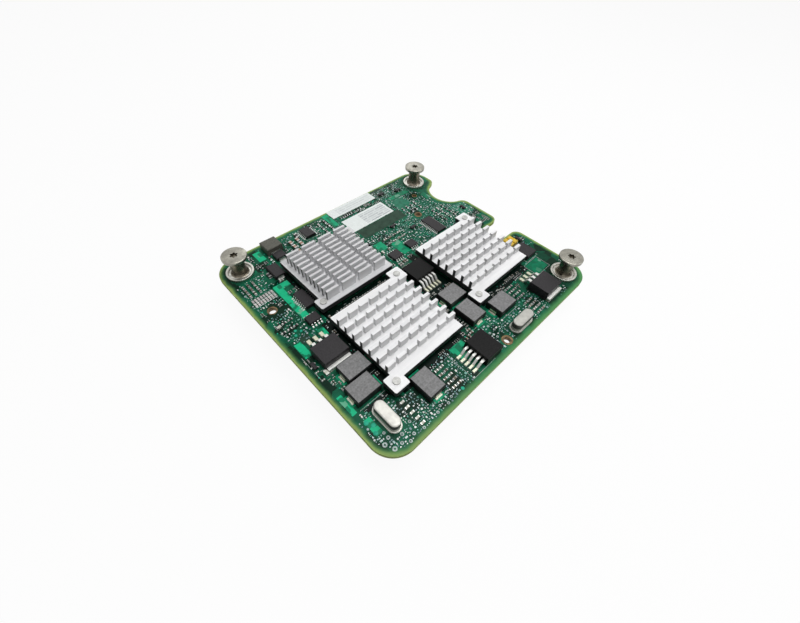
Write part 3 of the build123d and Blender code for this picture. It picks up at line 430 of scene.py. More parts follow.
def repeat(points, quads):
    """Many copies of one shape: points has a row for each copy, and the quads are counted on."""
    first = points.shape[1] * np.arange(len(points))
    return points.reshape(-1, 3), (quads + first[:, None, None]).reshape(-1, 4)


def raised(flat, z):
    """Flat rows with one more column, a height that they share."""
    return np.column_stack([flat, np.full(len(flat), z)])


def headings(turns):
    """A level unit vector for each turn t: (cos t, sin t, 0)."""
    return np.column_stack([np.cos(turns), np.sin(turns), np.zeros(len(turns))])


def join(*surfaces):
    """Several surfaces as one."""
    counts = np.cumsum([0] + [len(points) for points, _ in surfaces[:-1]])
    points = np.concatenate([points for points, _ in surfaces])
    return points, np.concatenate([quads + count for (_, quads), count in zip(surfaces, counts)])


def placed(points, places, turns):
    """Turn each copy about Z and move it: x' = x cos t - y sin t, y' = x sin t + y cos t, plus its place."""
    cosine, sine = np.cos(turns)[:, None], np.sin(turns)[:, None]
    x = points[..., 0] * cosine - points[..., 1] * sine
    y = points[..., 0] * sine + points[..., 1] * cosine
    return np.stack([x, y, points[..., 2]], axis=-1) + np.asarray(places)[:, None, :]


def blocks(places, sizes, turns=0.0, chamfer=0.03 * MM):
    """Blocks with broken top edges; a negative height hangs the block down.

    Three rings of four corners: at the foot, below the chamfer and on top. A corner is the half size times
    its signs, drawn in by the chamfer on the top ring.
    """
    count = len(places)
    sizes = np.broadcast_to(sizes, (count, 3))
    turns = np.broadcast_to(turns, count)
    signs = np.array([(-1.0, -1.0), (1.0, -1.0), (1.0, 1.0), (-1.0, 1.0)])
    inset = chamfer * np.array([0.0, 0.0, 1.0])
    drop = chamfer * np.array([0.0, 1.0, 0.0])
    heights = sizes[:, 2:] * np.array([0.0, 1.0, 1.0]) - np.sign(sizes[:, 2:]) * drop
    half = sizes[:, None, :2] / 2 - inset[:, None]
    corners = half[:, :, None, :] * signs
    levels = np.broadcast_to(heights[:, :, None, None], (count, 3, 4, 1))
    points = np.concatenate([corners, levels], axis=-1).reshape(count, BLOCK_POINTS, 3)
    return repeat(placed(points, places, turns), capped_rings(3))


def turned(places, profile, sides):
    """Turned shapes: point = place + (r cos a, r sin a, z) for each r, z of the profile and each angle a.

    A radius may be one number or a value for each angle, so that a round piece can carry lobes or a thread.
    """
    angle = np.linspace(0.0, 2 * math.pi, sides, endpoint=False)
    radius = np.stack([np.broadcast_to(r, sides) for r, _ in profile])
    height = np.stack([np.broadcast_to(z, sides) for _, z in profile])
    shape = np.stack([radius * np.cos(angle), radius * np.sin(angle), height], axis=-1).reshape(1, -1, 3)
    points = shape + np.asarray(places)[:, None, :]
    return repeat(points, ring_quads(len(profile), sides))


def sized_rounds(rows, profile, sides):
    """Turned shapes of several sizes on the board, from rows of a place and a diameter.

    Each copy's radius is its own diameter times the profile's share.
    """
    angle = np.linspace(0.0, 2 * math.pi, sides, endpoint=False)
    share, height = (np.array(values)[:, None] for values in zip(*profile))
    flat = np.stack([share * np.cos(angle), share * np.sin(angle)], axis=-1).reshape(1, -1, 2)
    flat = flat * (rows[:, 2] * MM)[:, None, None]
    level = np.broadcast_to(height, (len(profile), sides)).reshape(1, -1, 1)
    points = np.concatenate([flat, np.broadcast_to(level, flat.shape[:2] + (1,))], axis=-1)
    return repeat(points + on_board(rows)[:, None, :], ring_quads(len(profile), sides))


def ribbons(route, offsets, width, thickness, z):
    """Flat strips side by side along one route.

    At each point an edge lies along the mitred normal m = (n1 + n2) / (1 + n1 . n2) of the two runs that meet
    there, at the strip's offset plus or minus half its width.
    """
    runs = np.diff(route, axis=0)
    lengths = np.linalg.norm(runs, axis=1, keepdims=True)
    normals = np.stack([-runs[:, 1], runs[:, 0]], axis=-1) / lengths
    before, after = np.vstack([normals[:1], normals]), np.vstack([normals, normals[-1:]])
    mitre = (before + after) / (1 + np.sum(before * after, axis=1, keepdims=True))
    reach = offsets[:, None] + width / 2 * STRIP_SIDES
    flat = route[None, :, None] + mitre[None, :, None] * reach[:, None, :, None]
    level = np.broadcast_to((z + thickness * STRIP_RISE)[:, None], flat.shape[:3] + (1,))
    points = np.concatenate([flat, level], axis=-1)
    return repeat(points.reshape(len(reach), -1, 3), capped_rings(len(route), -1))


def bent_strips(places, turns, paths, thickness, widths):
    """Bent flat leads: a rectangular section carried along each path in its own X and Z.

    Section corners stand half the width to each side and the thickness above the path.
    """
    count, steps, _ = paths.shape
    side = np.asarray(widths)[:, None, None] / 2 * STRIP_SIDES
    x = np.broadcast_to(paths[:, :, 0, None], (count, steps, 4))
    y = np.broadcast_to(side, (count, steps, 4))
    z = paths[:, :, 1, None] + thickness * STRIP_RISE
    points = np.stack([x, y, z], axis=-1).reshape(count, -1, 3)
    return repeat(placed(points, places, turns), capped_rings(steps, -1))


def solder_ramps(places, turns, lengths, widths, heights):
    """Solder fillets: a hollow ramp from the top of a cap to a toe on the board.

    Its side is four points: foot (0, 0), top (0, h), belly (0.35 l, 0.3 h) and toe (l, 0).
    """
    along = np.array([0.0, 0.0, 0.35, 1.0])
    up = np.array([0.0, 1.0, 0.3, 0.0])
    x = np.repeat((lengths[:, None] * along)[:, None], 2, axis=1)
    z = np.repeat((heights[:, None] * up)[:, None], 2, axis=1)
    y = np.broadcast_to((widths[:, None] / 2 * np.array([-1.0, 1.0]))[:, :, None], x.shape)
    points = np.stack([x, y, z], axis=-1).reshape(len(places), 8, 3)
    return repeat(placed(points, places, turns), capped_rings(2))


def oval_can(low, high, rows):
    """A drawn oval can: each ring is two half circles of radius w/2 - inset about the ends of its middle line."""
    size, middle = high - low, (low + high) / 2
    long_axis = int(size[1] > size[0])
    radius, reach = size[1 - long_axis] / 2, (size[long_axis] - size[1 - long_axis]) / 2
    angle = np.linspace(-math.pi / 2, math.pi / 2, CAN_SIDES)
    angle = np.concatenate([angle, angle + math.pi])
    shift = reach * np.where(np.arange(2 * CAN_SIDES) < CAN_SIDES, 1.0, -1.0)
    inset, level = (np.array(values)[:, None] for values in zip(*rows))
    along = np.where(inset < radius, shift + (radius - inset) * np.cos(angle), shift * 0.98)
    across = np.maximum(radius - inset, 0.0) * np.sin(angle)
    height = np.broadcast_to(level, along.shape)
    flat = (along, across) if long_axis == 0 else (-across, along)
    points = np.stack([flat[0] + middle[0], flat[1] + middle[1], height + low[2]], axis=-1)
    return repeat(points.reshape(1, -1, 3), ring_quads(len(rows), 2 * CAN_SIDES))


def put_piece(name, surface, finish, body="card", stands_for=(), tint=None, weld=False):
    """Put a surface into a mesh at the origin, give it its finish and let it ride on a body."""
    points, quads = surface
    if not len(points):
        raise RuntimeError(f"{name} has no surface")
    mesh = bpy.data.meshes.new(name)
    mesh.from_pydata(points.tolist(), [], quads.tolist())
    if tint is not None:
        attribute = mesh.attributes.new("tint", "FLOAT", "POINT")
        attribute.data.foreach_set("value", np.asarray(tint, np.float32))
    shell = bmesh.new()
    shell.from_mesh(mesh)
    if weld:
        bmesh.ops.remove_doubles(shell, verts=shell.verts, dist=WELD_DISTANCE)
    bmesh.ops.recalc_face_normals(shell, faces=shell.faces)
    shell.to_mesh(mesh)
    shell.free()
    mesh.shade_smooth()
    mesh.set_sharp_from_angle(angle=SHARP_ANGLE)
    mesh.materials.append(finish)
    piece = bpy.data.objects.new(name, mesh)
    bpy.context.scene.collection.objects.link(piece)
    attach(piece, body)
    if stands_for:
        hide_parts(*stands_for)


def finish_node(node, finish):
    """Put a finish on a node's own material slot."""
    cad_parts[node].material_slots[0].material = finish


def nodes_like(*starts):
    """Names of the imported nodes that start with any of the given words."""
    return [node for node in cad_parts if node.startswith(starts)]


def finish_nodes(finish, *starts):
    """Put one finish on every node that starts with any of the given words."""
    for node in nodes_like(*starts):
        finish_node(node, finish)


def on_board(places, z=BOARD_TOP):
    """Layout places in millimetres as points in the frame."""
    return raised(np.asarray(places, float)[:, :2] * MM + BOARD_LOW[:2], z)


def on_layout(points):
    """Points in the frame as layout places in millimetres."""
    return (points - BOARD_LOW)[..., :2] / MM


def within(places, area):
    """Whether layout places lie in a flat area given by two opposite corners."""
    return np.all((places > area[:2]) & (places < area[2:4]), axis=-1)


def node_corners(node):
    """The mesh points of a node, a row for each corner of each triangle."""
    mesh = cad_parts[node].data
    index = np.empty(len(mesh.loops), np.int32)
    mesh.loops.foreach_get("vertex_index", index)
    points = np.empty(3 * len(mesh.vertices), np.float32)
    mesh.vertices.foreach_get("co", points)
    return points.reshape(-1, 3)[index].astype(float)


def solids(node):
    """The corner points of each solid of a grouped node, one row for each solid."""
    return node_corners(node).reshape(-1, 3 * SOLID_TRIANGLES[node], 3)


def node_boxes(node):
    """Low and high corners of each solid of a grouped node, or of the whole node."""
    if node in SOLID_TRIANGLES:
        points = solids(node)
        return points.min(axis=1), points.max(axis=1)
    low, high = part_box(node)
    return np.array([low]), np.array([high])


def edge_distance(x, y):
    """How far a place is inside the board's outline, in millimetres.

    The distance to a rounded rectangle is r - |max(q, 0)| - min(max(qx, qy), 0), with
    q = |p - middle| - half + r. The distances to the bay's circle and to the slot's rounded rectangle lessen it.
    """
    def rounded(across, along, half, radius):
        qx, qy = np.abs(across) - half[0] + radius, np.abs(along) - half[1] + radius
        outside = np.hypot(np.maximum(qx, 0.0), np.maximum(qy, 0.0))
        return radius - outside - np.minimum(np.maximum(qx, qy), 0.0)

    half = (BOARD_WIDTH / 2, BOARD_DEPTH / 2)
    board = rounded(x - half[0], y - half[1], half, CORNER_RADIUS)
    bay = np.hypot(x - BAY_PLACE[0], y - BAY_PLACE[1]) - BAY_RADIUS
    slot = -rounded(x - SLOT_PLACE[0], y - SLOT_PLACE[1], SLOT_HALF, SLOT_RADIUS)
    return np.minimum(board, np.minimum(bay, slot))


def sink_boxes(side):
    """Flat boxes of a heat sink's base and of its two ears, in layout millimetres."""
    low, high = (on_layout(np.array(corner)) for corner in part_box(f"heat_sink_{side}"))
    out_x, out_y, ear = SINK_EARS[side]
    out = np.array((out_x, out_y))
    return [(low + out, high - out), (low, low + ear), (high - ear, high)]


class FreeBoard:
    """Which tenths of a millimetre of one face of the board are still free."""

    def __init__(self, rim):
        shape = np.round(np.array((BOARD_WIDTH, BOARD_DEPTH)) / LAYOUT_STEP).astype(int)
        steps = [(np.arange(count) + 0.5) * LAYOUT_STEP for count in shape]
        self.taken = edge_distance(*np.meshgrid(*steps, indexing="ij")) < rim

    def span(self, low, high, margin):
        """The steps that a box takes up with its margin."""
        first = np.maximum(np.floor((np.asarray(low) - margin) / LAYOUT_STEP), 0).astype(int)
        last = np.ceil((np.asarray(high) + margin) / LAYOUT_STEP).astype(int)
        return slice(first[0], last[0]), slice(first[1], last[1])

    def take(self, low, high, margin=0.0):
        """Take a box with its margin."""
        self.taken[self.span(low, high, margin)] = True

    def claim(self, low, high, margin):
        """Take a box if it is wholly free with its margin, and say whether it was."""
        if self.taken[self.span(low, high, margin)].any():
            return False
        self.take(low, high)
        return True

    def take_nodes(self, nodes, margin):
        """Take the boxes of nodes or of their solids."""
        for node in nodes:
            for low, high in zip(*[on_layout(corners) for corners in node_boxes(node)]):
                self.take(low, high, margin)

    def take_rounds(self, rounds, margin):
        """Take round things given by place and diameter."""
        for x, y, diameter in rounds:
            self.take((x - diameter / 2, y - diameter / 2), (x + diameter / 2, y + diameter / 2), margin)


def rows_of_chips(free, draw, tries, gap):
    """Rows of one to six like chips side by side, wherever one fits: places, turns, sizes, kinds and tints."""
    leaning = draw.integers(2, size=(CELL_COUNT, CELL_COUNT))
    rows = []
    for _ in range(tries):
        spot = draw.random(2) * (BOARD_WIDTH, BOARD_DEPTH)
        share = max([PLAIN_SHARE] + [area[4] for area in DENSE_AREAS if within(spot, area)])
        cell = np.minimum(spot // CELL_SIDE, CELL_COUNT - 1).astype(int)
        upright = leaning[tuple(cell)] if draw.random() < CELL_SHARE else draw.integers(2)
        length, width, height, kind = CHIP_KINDS[draw.integers(len(CHIP_KINDS))]
        count = int(draw.choice(ROW_COUNTS))
        pitch = width + draw.uniform(*ROW_GAPS)
        size = np.array((length, (count - 1) * pitch + width))
        half = size[::-1] / 2 if upright else size / 2
        if draw.random() < share and free.claim(spot - half, spot + half, gap):
            shifts = np.zeros((count, 2))
            shifts[:, 0 if upright else 1] = (np.arange(count) - (count - 1) / 2) * pitch
            tint = draw.random() * LOOSE_TINTS[kind]
            rows += [(*(spot + shift), upright, length, width, height, kind, tint) for shift in shifts]
    return np.array(rows)


def single_spots(free, draw, tries, size, gap):
    """Single places where a part of one size fits, with a quarter turn or none."""
    spots = []
    for _ in range(tries):
        spot = draw.random(2) * (BOARD_WIDTH, BOARD_DEPTH)
        upright = draw.integers(2)
        half = np.array(size[::-1] if upright else size) / 2
        if free.claim(spot - half, spot + half, gap):
            spots.append((*spot, upright))
    return np.array(spots)


def loose_pads(free, draw):
    """Small pads over the areas sown with them: places, diameters, tints and a draw for their shape."""
    pads = []
    for x0, y0, x1, y1, tries in PAD_AREAS:
        for _ in range(tries):
            spot = np.array((draw.uniform(x0, x1), draw.uniform(y0, y1)))
            diameter = draw.choice(PAD_DIAMETERS)
            if free.claim(spot - diameter / 2, spot + diameter / 2, LOOSE_PAD_ROOM):
                pads.append((*spot, diameter, *draw.random(2)))
    return np.array(pads)


@lru_cache
def top_layout(seed, chip_tries, via_tries):
    """Where every loose small thing of the top face goes: transistors, pads, chips, vias and print marks."""
    draw = np.random.default_rng(seed)
    free = FreeBoard(TOP_RIM)
    for side in SINKS:
        for low, high in sink_boxes(side):
            free.take(low, high, SINK_ROOM)
    free.take_nodes([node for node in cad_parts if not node.startswith(NOT_STANDING)], NODE_ROOM)
    free.take_rounds(TOOLING_HOLES, HOLE_ROOM)
    for area in COPPER_AREAS + BARE_AREAS:
        free.take(area[:2], area[2:])
    free.take_rounds(RING_PADS + MASK_PADS, PAD_ROOM)
    for x, y, length, width, _, turn, _, _ in LISTED_PARTS:
        half = np.array((width, length) if turn else (length, width)) / 2
        free.take((x, y) - half, (x, y) + half, PART_ROOM)
    return {
        "transistors": single_spots(free, draw, *TRANSISTOR_SPOTS),
        "pads": loose_pads(free, draw),
        "chips": rows_of_chips(free, draw, chip_tries, ROW_ROOM),
        "vias": single_spots(free, draw, via_tries, *VIA_SPOTS),
        "marks": single_spots(free, draw, *MARK_SPOTS),
    }


@lru_cache
def underside_layout(seed):
    """Where the small parts and vias of the underside go."""
    draw = np.random.default_rng(seed + 40)
    free = FreeBoard(UNDERSIDE_RIM)
    free.take_nodes(nodes_like("plug_housing", "screw_ferrule"), UNDERSIDE_ROOM)
    free.take_rounds(TOOLING_HOLES, UNDERSIDE_ROOM)
    return {
        "chips": rows_of_chips(free, draw, *UNDERSIDE_ROWS),
        "vias": single_spots(free, draw, *UNDERSIDE_VIAS),
    }


def laid_out(scene):
    """The top face's layout for the scene's own seed and counts."""
    look = scene.card_parts
    return top_layout(look.seed, look.chip_tries, look.via_tries)


def socket_of(tree, value, socket):
    """Link a value to a socket if it is a socket itself, and set it otherwise."""
    if isinstance(value, bpy.types.NodeSocket):
        tree.links.new(value, socket)
    else:
        socket.default_value = value


def add(tree, kind, settings=None, **sockets):
    """Add a node with its settings. Sockets are named with underscores for spaces."""
    made = tree.nodes.new(kind)
    for key, value in (settings or {}).items():
        setattr(made, key, value)
    for key, value in sockets.items():
        socket_of(tree, value, made.inputs[key.replace("_", " ")])
    return made


def operate(tree, kind, operation, values):
    """Add a Math or a Vector Math node with its values."""
    made = add(tree, kind, {"operation": operation})
    for value, socket in zip(values, made.inputs):
        socket_of(tree, value, socket)
    return made


def maths(tree, operation, *values):
    """The result of a Math node."""
    return operate(tree, "ShaderNodeMath", operation, values).outputs[0]


def product(tree, first, *others):
    """The product of several values."""
    for value in others:
        first = maths(tree, "MULTIPLY", first, value)
    return first


def vector_maths(tree, operation, *values):
    """The vector result of a Vector Math node."""
    return operate(tree, "ShaderNodeVectorMath", operation, values).outputs[0]


def axes_of(tree, vector):
    """The three parts of a vector."""
    return add(tree, "ShaderNodeSeparateXYZ", Vector=vector).outputs


def mixed(tree, factor, first, second):
    """One colour over another by a factor."""
    made = tree.nodes.new("ShaderNodeMix")
    made.data_type = "RGBA"
    for value, index in ((factor, 0), (first, 6), (second, 7)):
        socket_of(tree, value, made.inputs[index])
    return made.outputs[2]


def spread(tree, value, low, high, to_low=0.0, to_high=1.0):
    """A value carried from one range to another."""
    made = add(
        tree, "ShaderNodeMapRange", Value=value, From_Min=low, From_Max=high, To_Min=to_low, To_Max=to_high,
    )
    return made.outputs[0]


def scaled(tree, share, low, high):
    """A share from 0 to 1 carried to another range."""
    return spread(tree, share, 0.0, 1.0, low, high)


def ramp(tree, factor, stops, steps=False):
    """A colour ramp through (place, colour) stops."""
    made = add(tree, "ShaderNodeValToRGB", Fac=factor)
    made.color_ramp.interpolation = "CONSTANT" if steps else "LINEAR"
    elements = made.color_ramp.elements
    elements.remove(elements[1])
    elements[0].position = stops[0][0]
    elements[0].color = (*stops[0][1], 1.0)
    for place, colour in stops[1:]:
        elements.new(place).color = (*colour, 1.0)
    return made.outputs[0]


def opaque(colour, gain=1.0):
    """A colour with its alpha, made lighter or darker by a gain."""
    return (*[min(1.0, channel * gain) for channel in colour], 1.0)


def toned(tree, tone, colour, first, second):
    """One colour between two gains of itself, by a tone."""
    return mixed(tree, tone, opaque(colour, first), opaque(colour, second))


def weighted(colour, gains):
    """A colour with a gain for each channel."""
    return tuple(channel * gain for channel, gain in zip(colour, gains))


def new_group(name, inputs, outputs):
    """A shader node group with named sockets, and its input and output nodes."""
    tree = bpy.data.node_groups.new(name, "ShaderNodeTree")
    for socket, kind in inputs:
        tree.interface.new_socket(socket, in_out="INPUT", socket_type=kind)
    for socket, kind in outputs:
        tree.interface.new_socket(socket, in_out="OUTPUT", socket_type=kind)
    return tree, tree.nodes.new("NodeGroupInput"), tree.nodes.new("NodeGroupOutput")


@lru_cache
def grain_group():
    """Grain: a broad cloud for tone and a fine one for height, on a vector that may be stretched."""
    tree, entry, out = new_group(
        "surface_grain",
        [("Vector", "NodeSocketVector"), ("Scale", "NodeSocketFloat"), ("Stretch", "NodeSocketVector")],
        [("Tone", "NodeSocketFloat"), ("Height", "NodeSocketFloat")],
    )
    vector = vector_maths(tree, "MULTIPLY", entry.outputs["Vector"], entry.outputs["Stretch"])
    broad = add(tree, "ShaderNodeTexNoise", Vector=vector, Scale=entry.outputs["Scale"], Detail=5.0)
    fine_scale = product(tree, entry.outputs["Scale"], 6.0)
    fine = add(tree, "ShaderNodeTexNoise", Vector=vector, Scale=fine_scale, Detail=2.0)
    tree.links.new(spread(tree, broad.outputs[0], 0.3, 0.7), out.inputs["Tone"])
    tree.links.new(fine.outputs[0], out.inputs["Height"])
    return tree


@lru_cache
def rings_group():
    """Turning marks: waves of the distance from an upright axis."""
    tree, entry, out = new_group(
        "turning_marks",
        [("Vector", "NodeSocketVector"), ("Axis", "NodeSocketVector"), ("Pitch", "NodeSocketFloat")],
        [("Height", "NodeSocketFloat"), ("Distance", "NodeSocketFloat")],
    )
    away = vector_maths(tree, "SUBTRACT", entry.outputs["Vector"], entry.outputs["Axis"])
    flat = vector_maths(tree, "MULTIPLY", away, (1.0, 1.0, 0.0))
    distance = operate(tree, "ShaderNodeVectorMath", "LENGTH", [flat]).outputs["Value"]
    turns = maths(tree, "DIVIDE", distance, entry.outputs["Pitch"])
    wave = maths(tree, "SINE", product(tree, turns, 2 * math.pi))
    tree.links.new(spread(tree, wave, -1.0, 1.0), out.inputs["Height"])
    tree.links.new(distance, out.inputs["Distance"])
    return tree


@lru_cache
def facing_group():
    """Which way a face points, as masks: up, to a side, and along X."""
    tree, _, out = new_group(
        "facing", [], [("Up", "NodeSocketFloat"), ("Side", "NodeSocketFloat"), ("Endwise", "NodeSocketFloat")],
    )
    axes = axes_of(tree, tree.nodes.new("ShaderNodeNewGeometry").outputs["Normal"])
    level = maths(tree, "ABSOLUTE", axes["Z"])
    endwise = maths(tree, "ABSOLUTE", axes["X"])
    tree.links.new(spread(tree, axes["Z"], 0.75, 0.95), out.inputs["Up"])
    tree.links.new(spread(tree, level, 0.3, 0.6, 1.0, 0.0), out.inputs["Side"])
    tree.links.new(spread(tree, endwise, 0.6, 0.85), out.inputs["Endwise"])
    return tree


def use_group(tree, group, **sockets):
    """Place a shared group in a material with its own values."""
    made = tree.nodes.new("ShaderNodeGroup")
    made.node_tree = group
    for key, value in sockets.items():
        socket_of(tree, value, made.inputs[key])
    return made


def use_grain(tree, place, scale, stretch=(1.0, 1.0, 1.0)):
    """The shared grain at one scale: its tone and its height."""
    made = use_group(tree, grain_group(), Vector=place, Scale=scale, Stretch=stretch)
    return made.outputs["Tone"], made.outputs["Height"]


def facing(tree):
    """The shared masks of which way a face points."""
    return use_group(tree, facing_group()).outputs


def square_patches(tree, place, scale, randomness):
    """Square patches, each with its own random values, as three channels."""
    cells = add(
        tree, "ShaderNodeTexVoronoi", {"distance": "CHEBYCHEV"},
        Vector=place, Scale=scale, Randomness=randomness,
    )
    return add(tree, "ShaderNodeSeparateColor", Color=cells.outputs["Color"]).outputs


def new_material(name, **constants):
    """A material with one Principled shader and its plain values, its node tree and the object's own place."""
    material = bpy.data.materials.new(name)
    material.use_nodes = True
    tree = material.node_tree
    shader = tree.nodes["Principled BSDF"]
    for key, value in constants.items():
        shader.inputs[key.replace("_", " ")].default_value = value
    place = tree.nodes.new("ShaderNodeTexCoord").outputs["Object"]
    return material, tree, place


def surfaced(material, shade, roughness, height, depth, strength=1.0):
    """Give a material its colour and roughness, and raise it by a height field, depth in millimetres."""
    tree = material.node_tree
    shader = tree.nodes["Principled BSDF"]
    bump = add(tree, "ShaderNodeBump", Height=height, Distance=depth * MM, Strength=strength)
    for socket, key in ((shade, "Base Color"), (roughness, "Roughness"), (bump.outputs[0], "Normal")):
        tree.links.new(socket, shader.inputs[key])
    return material


def grained(
    name, colour, roughness, scale,
    metallic=0.0, stretch=(1.0, 1.0, 1.0), depth=0.004, tones=(0.75, 1.2), gloss=0.25,
):
    """A plain finish with grain: tone moves its colour and roughness, and the fine grain raises it."""
    material, tree, place = new_material(name, Metallic=metallic, Specular_IOR_Level=gloss)
    tone, height = use_grain(tree, place, scale, stretch)
    shade = toned(tree, tone, colour, *tones)
    return surfaced(material, shade, scaled(tree, tone, roughness + 0.07, roughness - 0.07), height, depth)


def rounded_distance(tree, axes, middle, half, radius):
    """Distance inside a rounded rectangle, by the formula of edge_distance, with nodes."""
    q = [
        maths(tree, "SUBTRACT", maths(tree, "ABSOLUTE", maths(tree, "SUBTRACT", axis, at)), size - radius)
        for axis, at, size in zip(axes, middle, half)
    ]
    squares = [maths(tree, "POWER", maths(tree, "MAXIMUM", value, 0.0), 2.0) for value in q]
    outside = maths(tree, "SQRT", maths(tree, "ADD", *squares))
    inside = maths(tree, "MINIMUM", maths(tree, "MAXIMUM", *q), 0.0)
    return maths(tree, "SUBTRACT", maths(tree, "SUBTRACT", radius, outside), inside)


def rim_masks(tree, place):
    """Distance from the board's outline in metres, and a mask that is 1 along its front edge."""
    axes = axes_of(tree, place)[:2]
    middle, half = (BOARD_LOW + BOARD_HIGH)[:2] / 2, (BOARD_HIGH - BOARD_LOW)[:2] / 2
    board = rounded_distance(tree, axes, middle, half, CORNER_RADIUS * MM)
    slot_place, bay_place = on_board([SLOT_PLACE, BAY_PLACE])[:, :2]
    slot = rounded_distance(tree, axes, slot_place, np.array(SLOT_HALF) * MM, SLOT_RADIUS * MM)
    steps = [maths(tree, "SUBTRACT", axis, at) for axis, at in zip(axes, bay_place)]
    squares = [product(tree, step, step) for step in steps]
    bay = maths(tree, "SUBTRACT", maths(tree, "SQRT", maths(tree, "ADD", *squares)), BAY_RADIUS * MM)
    cuts = maths(tree, "MINIMUM", bay, product(tree, slot, -1.0))
    distance = maths(tree, "SMOOTH_MIN", board, cuts, LIP_BLEND * MM)
    frontal = spread(tree, axes[1], BOARD_LOW[1] + 3.0 * MM, BOARD_LOW[1] + 10.0 * MM, 1.0, 0.0)
    return distance, frontal


def masked_copper(tree, place, axes, look):
    """Solder mask over patches of copper, more of them at the back, and routed lines: colour and height."""
    patch = square_patches(tree, place, 210.0, 0.9)
    back = spread(tree, axes["Y"], BOARD_LOW[1] + 55.0 * MM, BOARD_LOW[1] + 90.0 * MM, 0.0, 0.2)
    copper = spread(tree, maths(tree, "ADD", patch[0], back), 0.60, 0.64)
    veins = add(tree, "ShaderNodeTexWave", {"bands_direction": "X"}, Vector=place, Scale=760.0, Distortion=0.3)
    lines = spread(tree, veins.outputs["Fac"], 0.55, 0.7)
    routed = product(tree, lines, spread(tree, patch[1], 0.55, 0.6, 0.0, 0.8))
    shade = mixed(tree, copper, opaque(look.mask), opaque(look.mask_on_copper))
    shade = mixed(tree, routed, shade, opaque(look.mask_on_copper, 1.3))
    return shade, maths(tree, "ADD", routed, copper)


def lime_rim(tree, place, axes, look):
    """Bare lime fibre along the outline, greener inwards and along the front edge: mask and colour."""
    distance, frontal = rim_masks(tree, place)
    wander = add(tree, "ShaderNodeTexNoise", Vector=place, Scale=260.0, Detail=3.0).outputs[0]
    wide = maths(tree, "ADD", distance, spread(tree, wander, 0.3, 0.7, -0.3 * MM, 0.3 * MM))
    share = maths(tree, "DIVIDE", wide, scaled(tree, frontal, look.rim_width * 0.9, look.rim_width * 1.2))
    away = spread(tree, axes["X"], BOARD_LOW[0] + 12.0 * MM, BOARD_LOW[0] + 40.0 * MM, 0.25, 0.85)
    lime = toned(tree, spread(tree, wander, 0.35, 0.65, 0.0, 0.6), look.lime, 1.0, 1.4)
    lime = mixed(tree, spread(tree, share, 0.2, 1.1, 0.0, 0.9), lime, opaque(look.green_rim))
    lime = mixed(tree, product(tree, frontal, away), lime, opaque(look.green_rim, 1.3))
    return spread(tree, share, 0.5, 1.7, 0.96, 0.0), lime


def board_finish(look):
    """Solder mask over copper and routed lines, bare lime fibre along the rim, and layers on the cut sides."""
    material, tree, place = new_material("solder_mask_board", Specular_IOR_Level=0.07)
    side = facing(tree)["Side"]
    axes = axes_of(tree, place)
    tone, _ = use_grain(tree, place, 420.0)
    shade, height = masked_copper(tree, place, axes, look)
    shade = mixed(tree, scaled(tree, tone, 0.5, 0.0), shade, opaque(look.mask, 0.5))
    rim, lime = lime_rim(tree, place, axes, look)
    layered = vector_maths(tree, "MULTIPLY", place, (0.12, 0.12, 4.0))
    layers = add(tree, "ShaderNodeTexNoise", Vector=layered, Scale=900.0, Detail=3.0)
    edge = ramp(tree, layers.outputs[0], (
        (0.3, weighted(look.fibre, (0.5, 0.5, 0.5))), (0.5, tuple(look.fibre)), (0.72, PALE_FIBRE),
    ))
    shade = mixed(tree, side, mixed(tree, rim, shade, lime), edge)
    rough = maths(tree, "MAXIMUM", scaled(tree, tone, 0.26, 0.42), product(tree, side, 0.6))
    return surfaced(material, shade, rough, height, 0.02, 0.5)


def mask_finish(name, colour):
    """Solder mask over raised copper, with small clouds of tone."""
    return grained(name, colour, 0.3, 500.0, depth=0.006, tones=(0.7, 1.25), gloss=0.07)


def copper_finish(look):
    """Mask over bright copper: painted light darkening it along X, with clouds, and square patches of several
    tones.
    """
    material, tree, place = new_material("mask_on_bright_copper", Specular_IOR_Level=0.08)
    patch = square_patches(tree, place, 520.0, 0.8)
    tone, height = use_grain(tree, place, 620.0)
    # Painted light: the copper is brightest at the board's left end and falls off along X
    away = spread(tree, axes_of(tree, place)["X"], BOARD_LOW[0], BOARD_LOW[0] + BOARD_WIDTH * MM)
    away = maths(tree, "ADD", away, scaled(tree, tone, 0.12, -0.12))
    shade = toned(tree, away, look.bright_copper, 1.7, 0.4)
    shade = mixed(tree, spread(tree, patch[0], 0.74, 0.78, 0.0, 0.75), shade, opaque(look.mask_on_copper))
    pale = mixed(tree, 0.5, opaque(look.bright_copper), opaque(look.silk))
    shade = mixed(tree, spread(tree, patch[1], 0.90, 0.92, 0.0, 0.6), shade, pale)
    return surfaced(material, shade, scaled(tree, tone, 0.38, 0.24), height, 0.008)


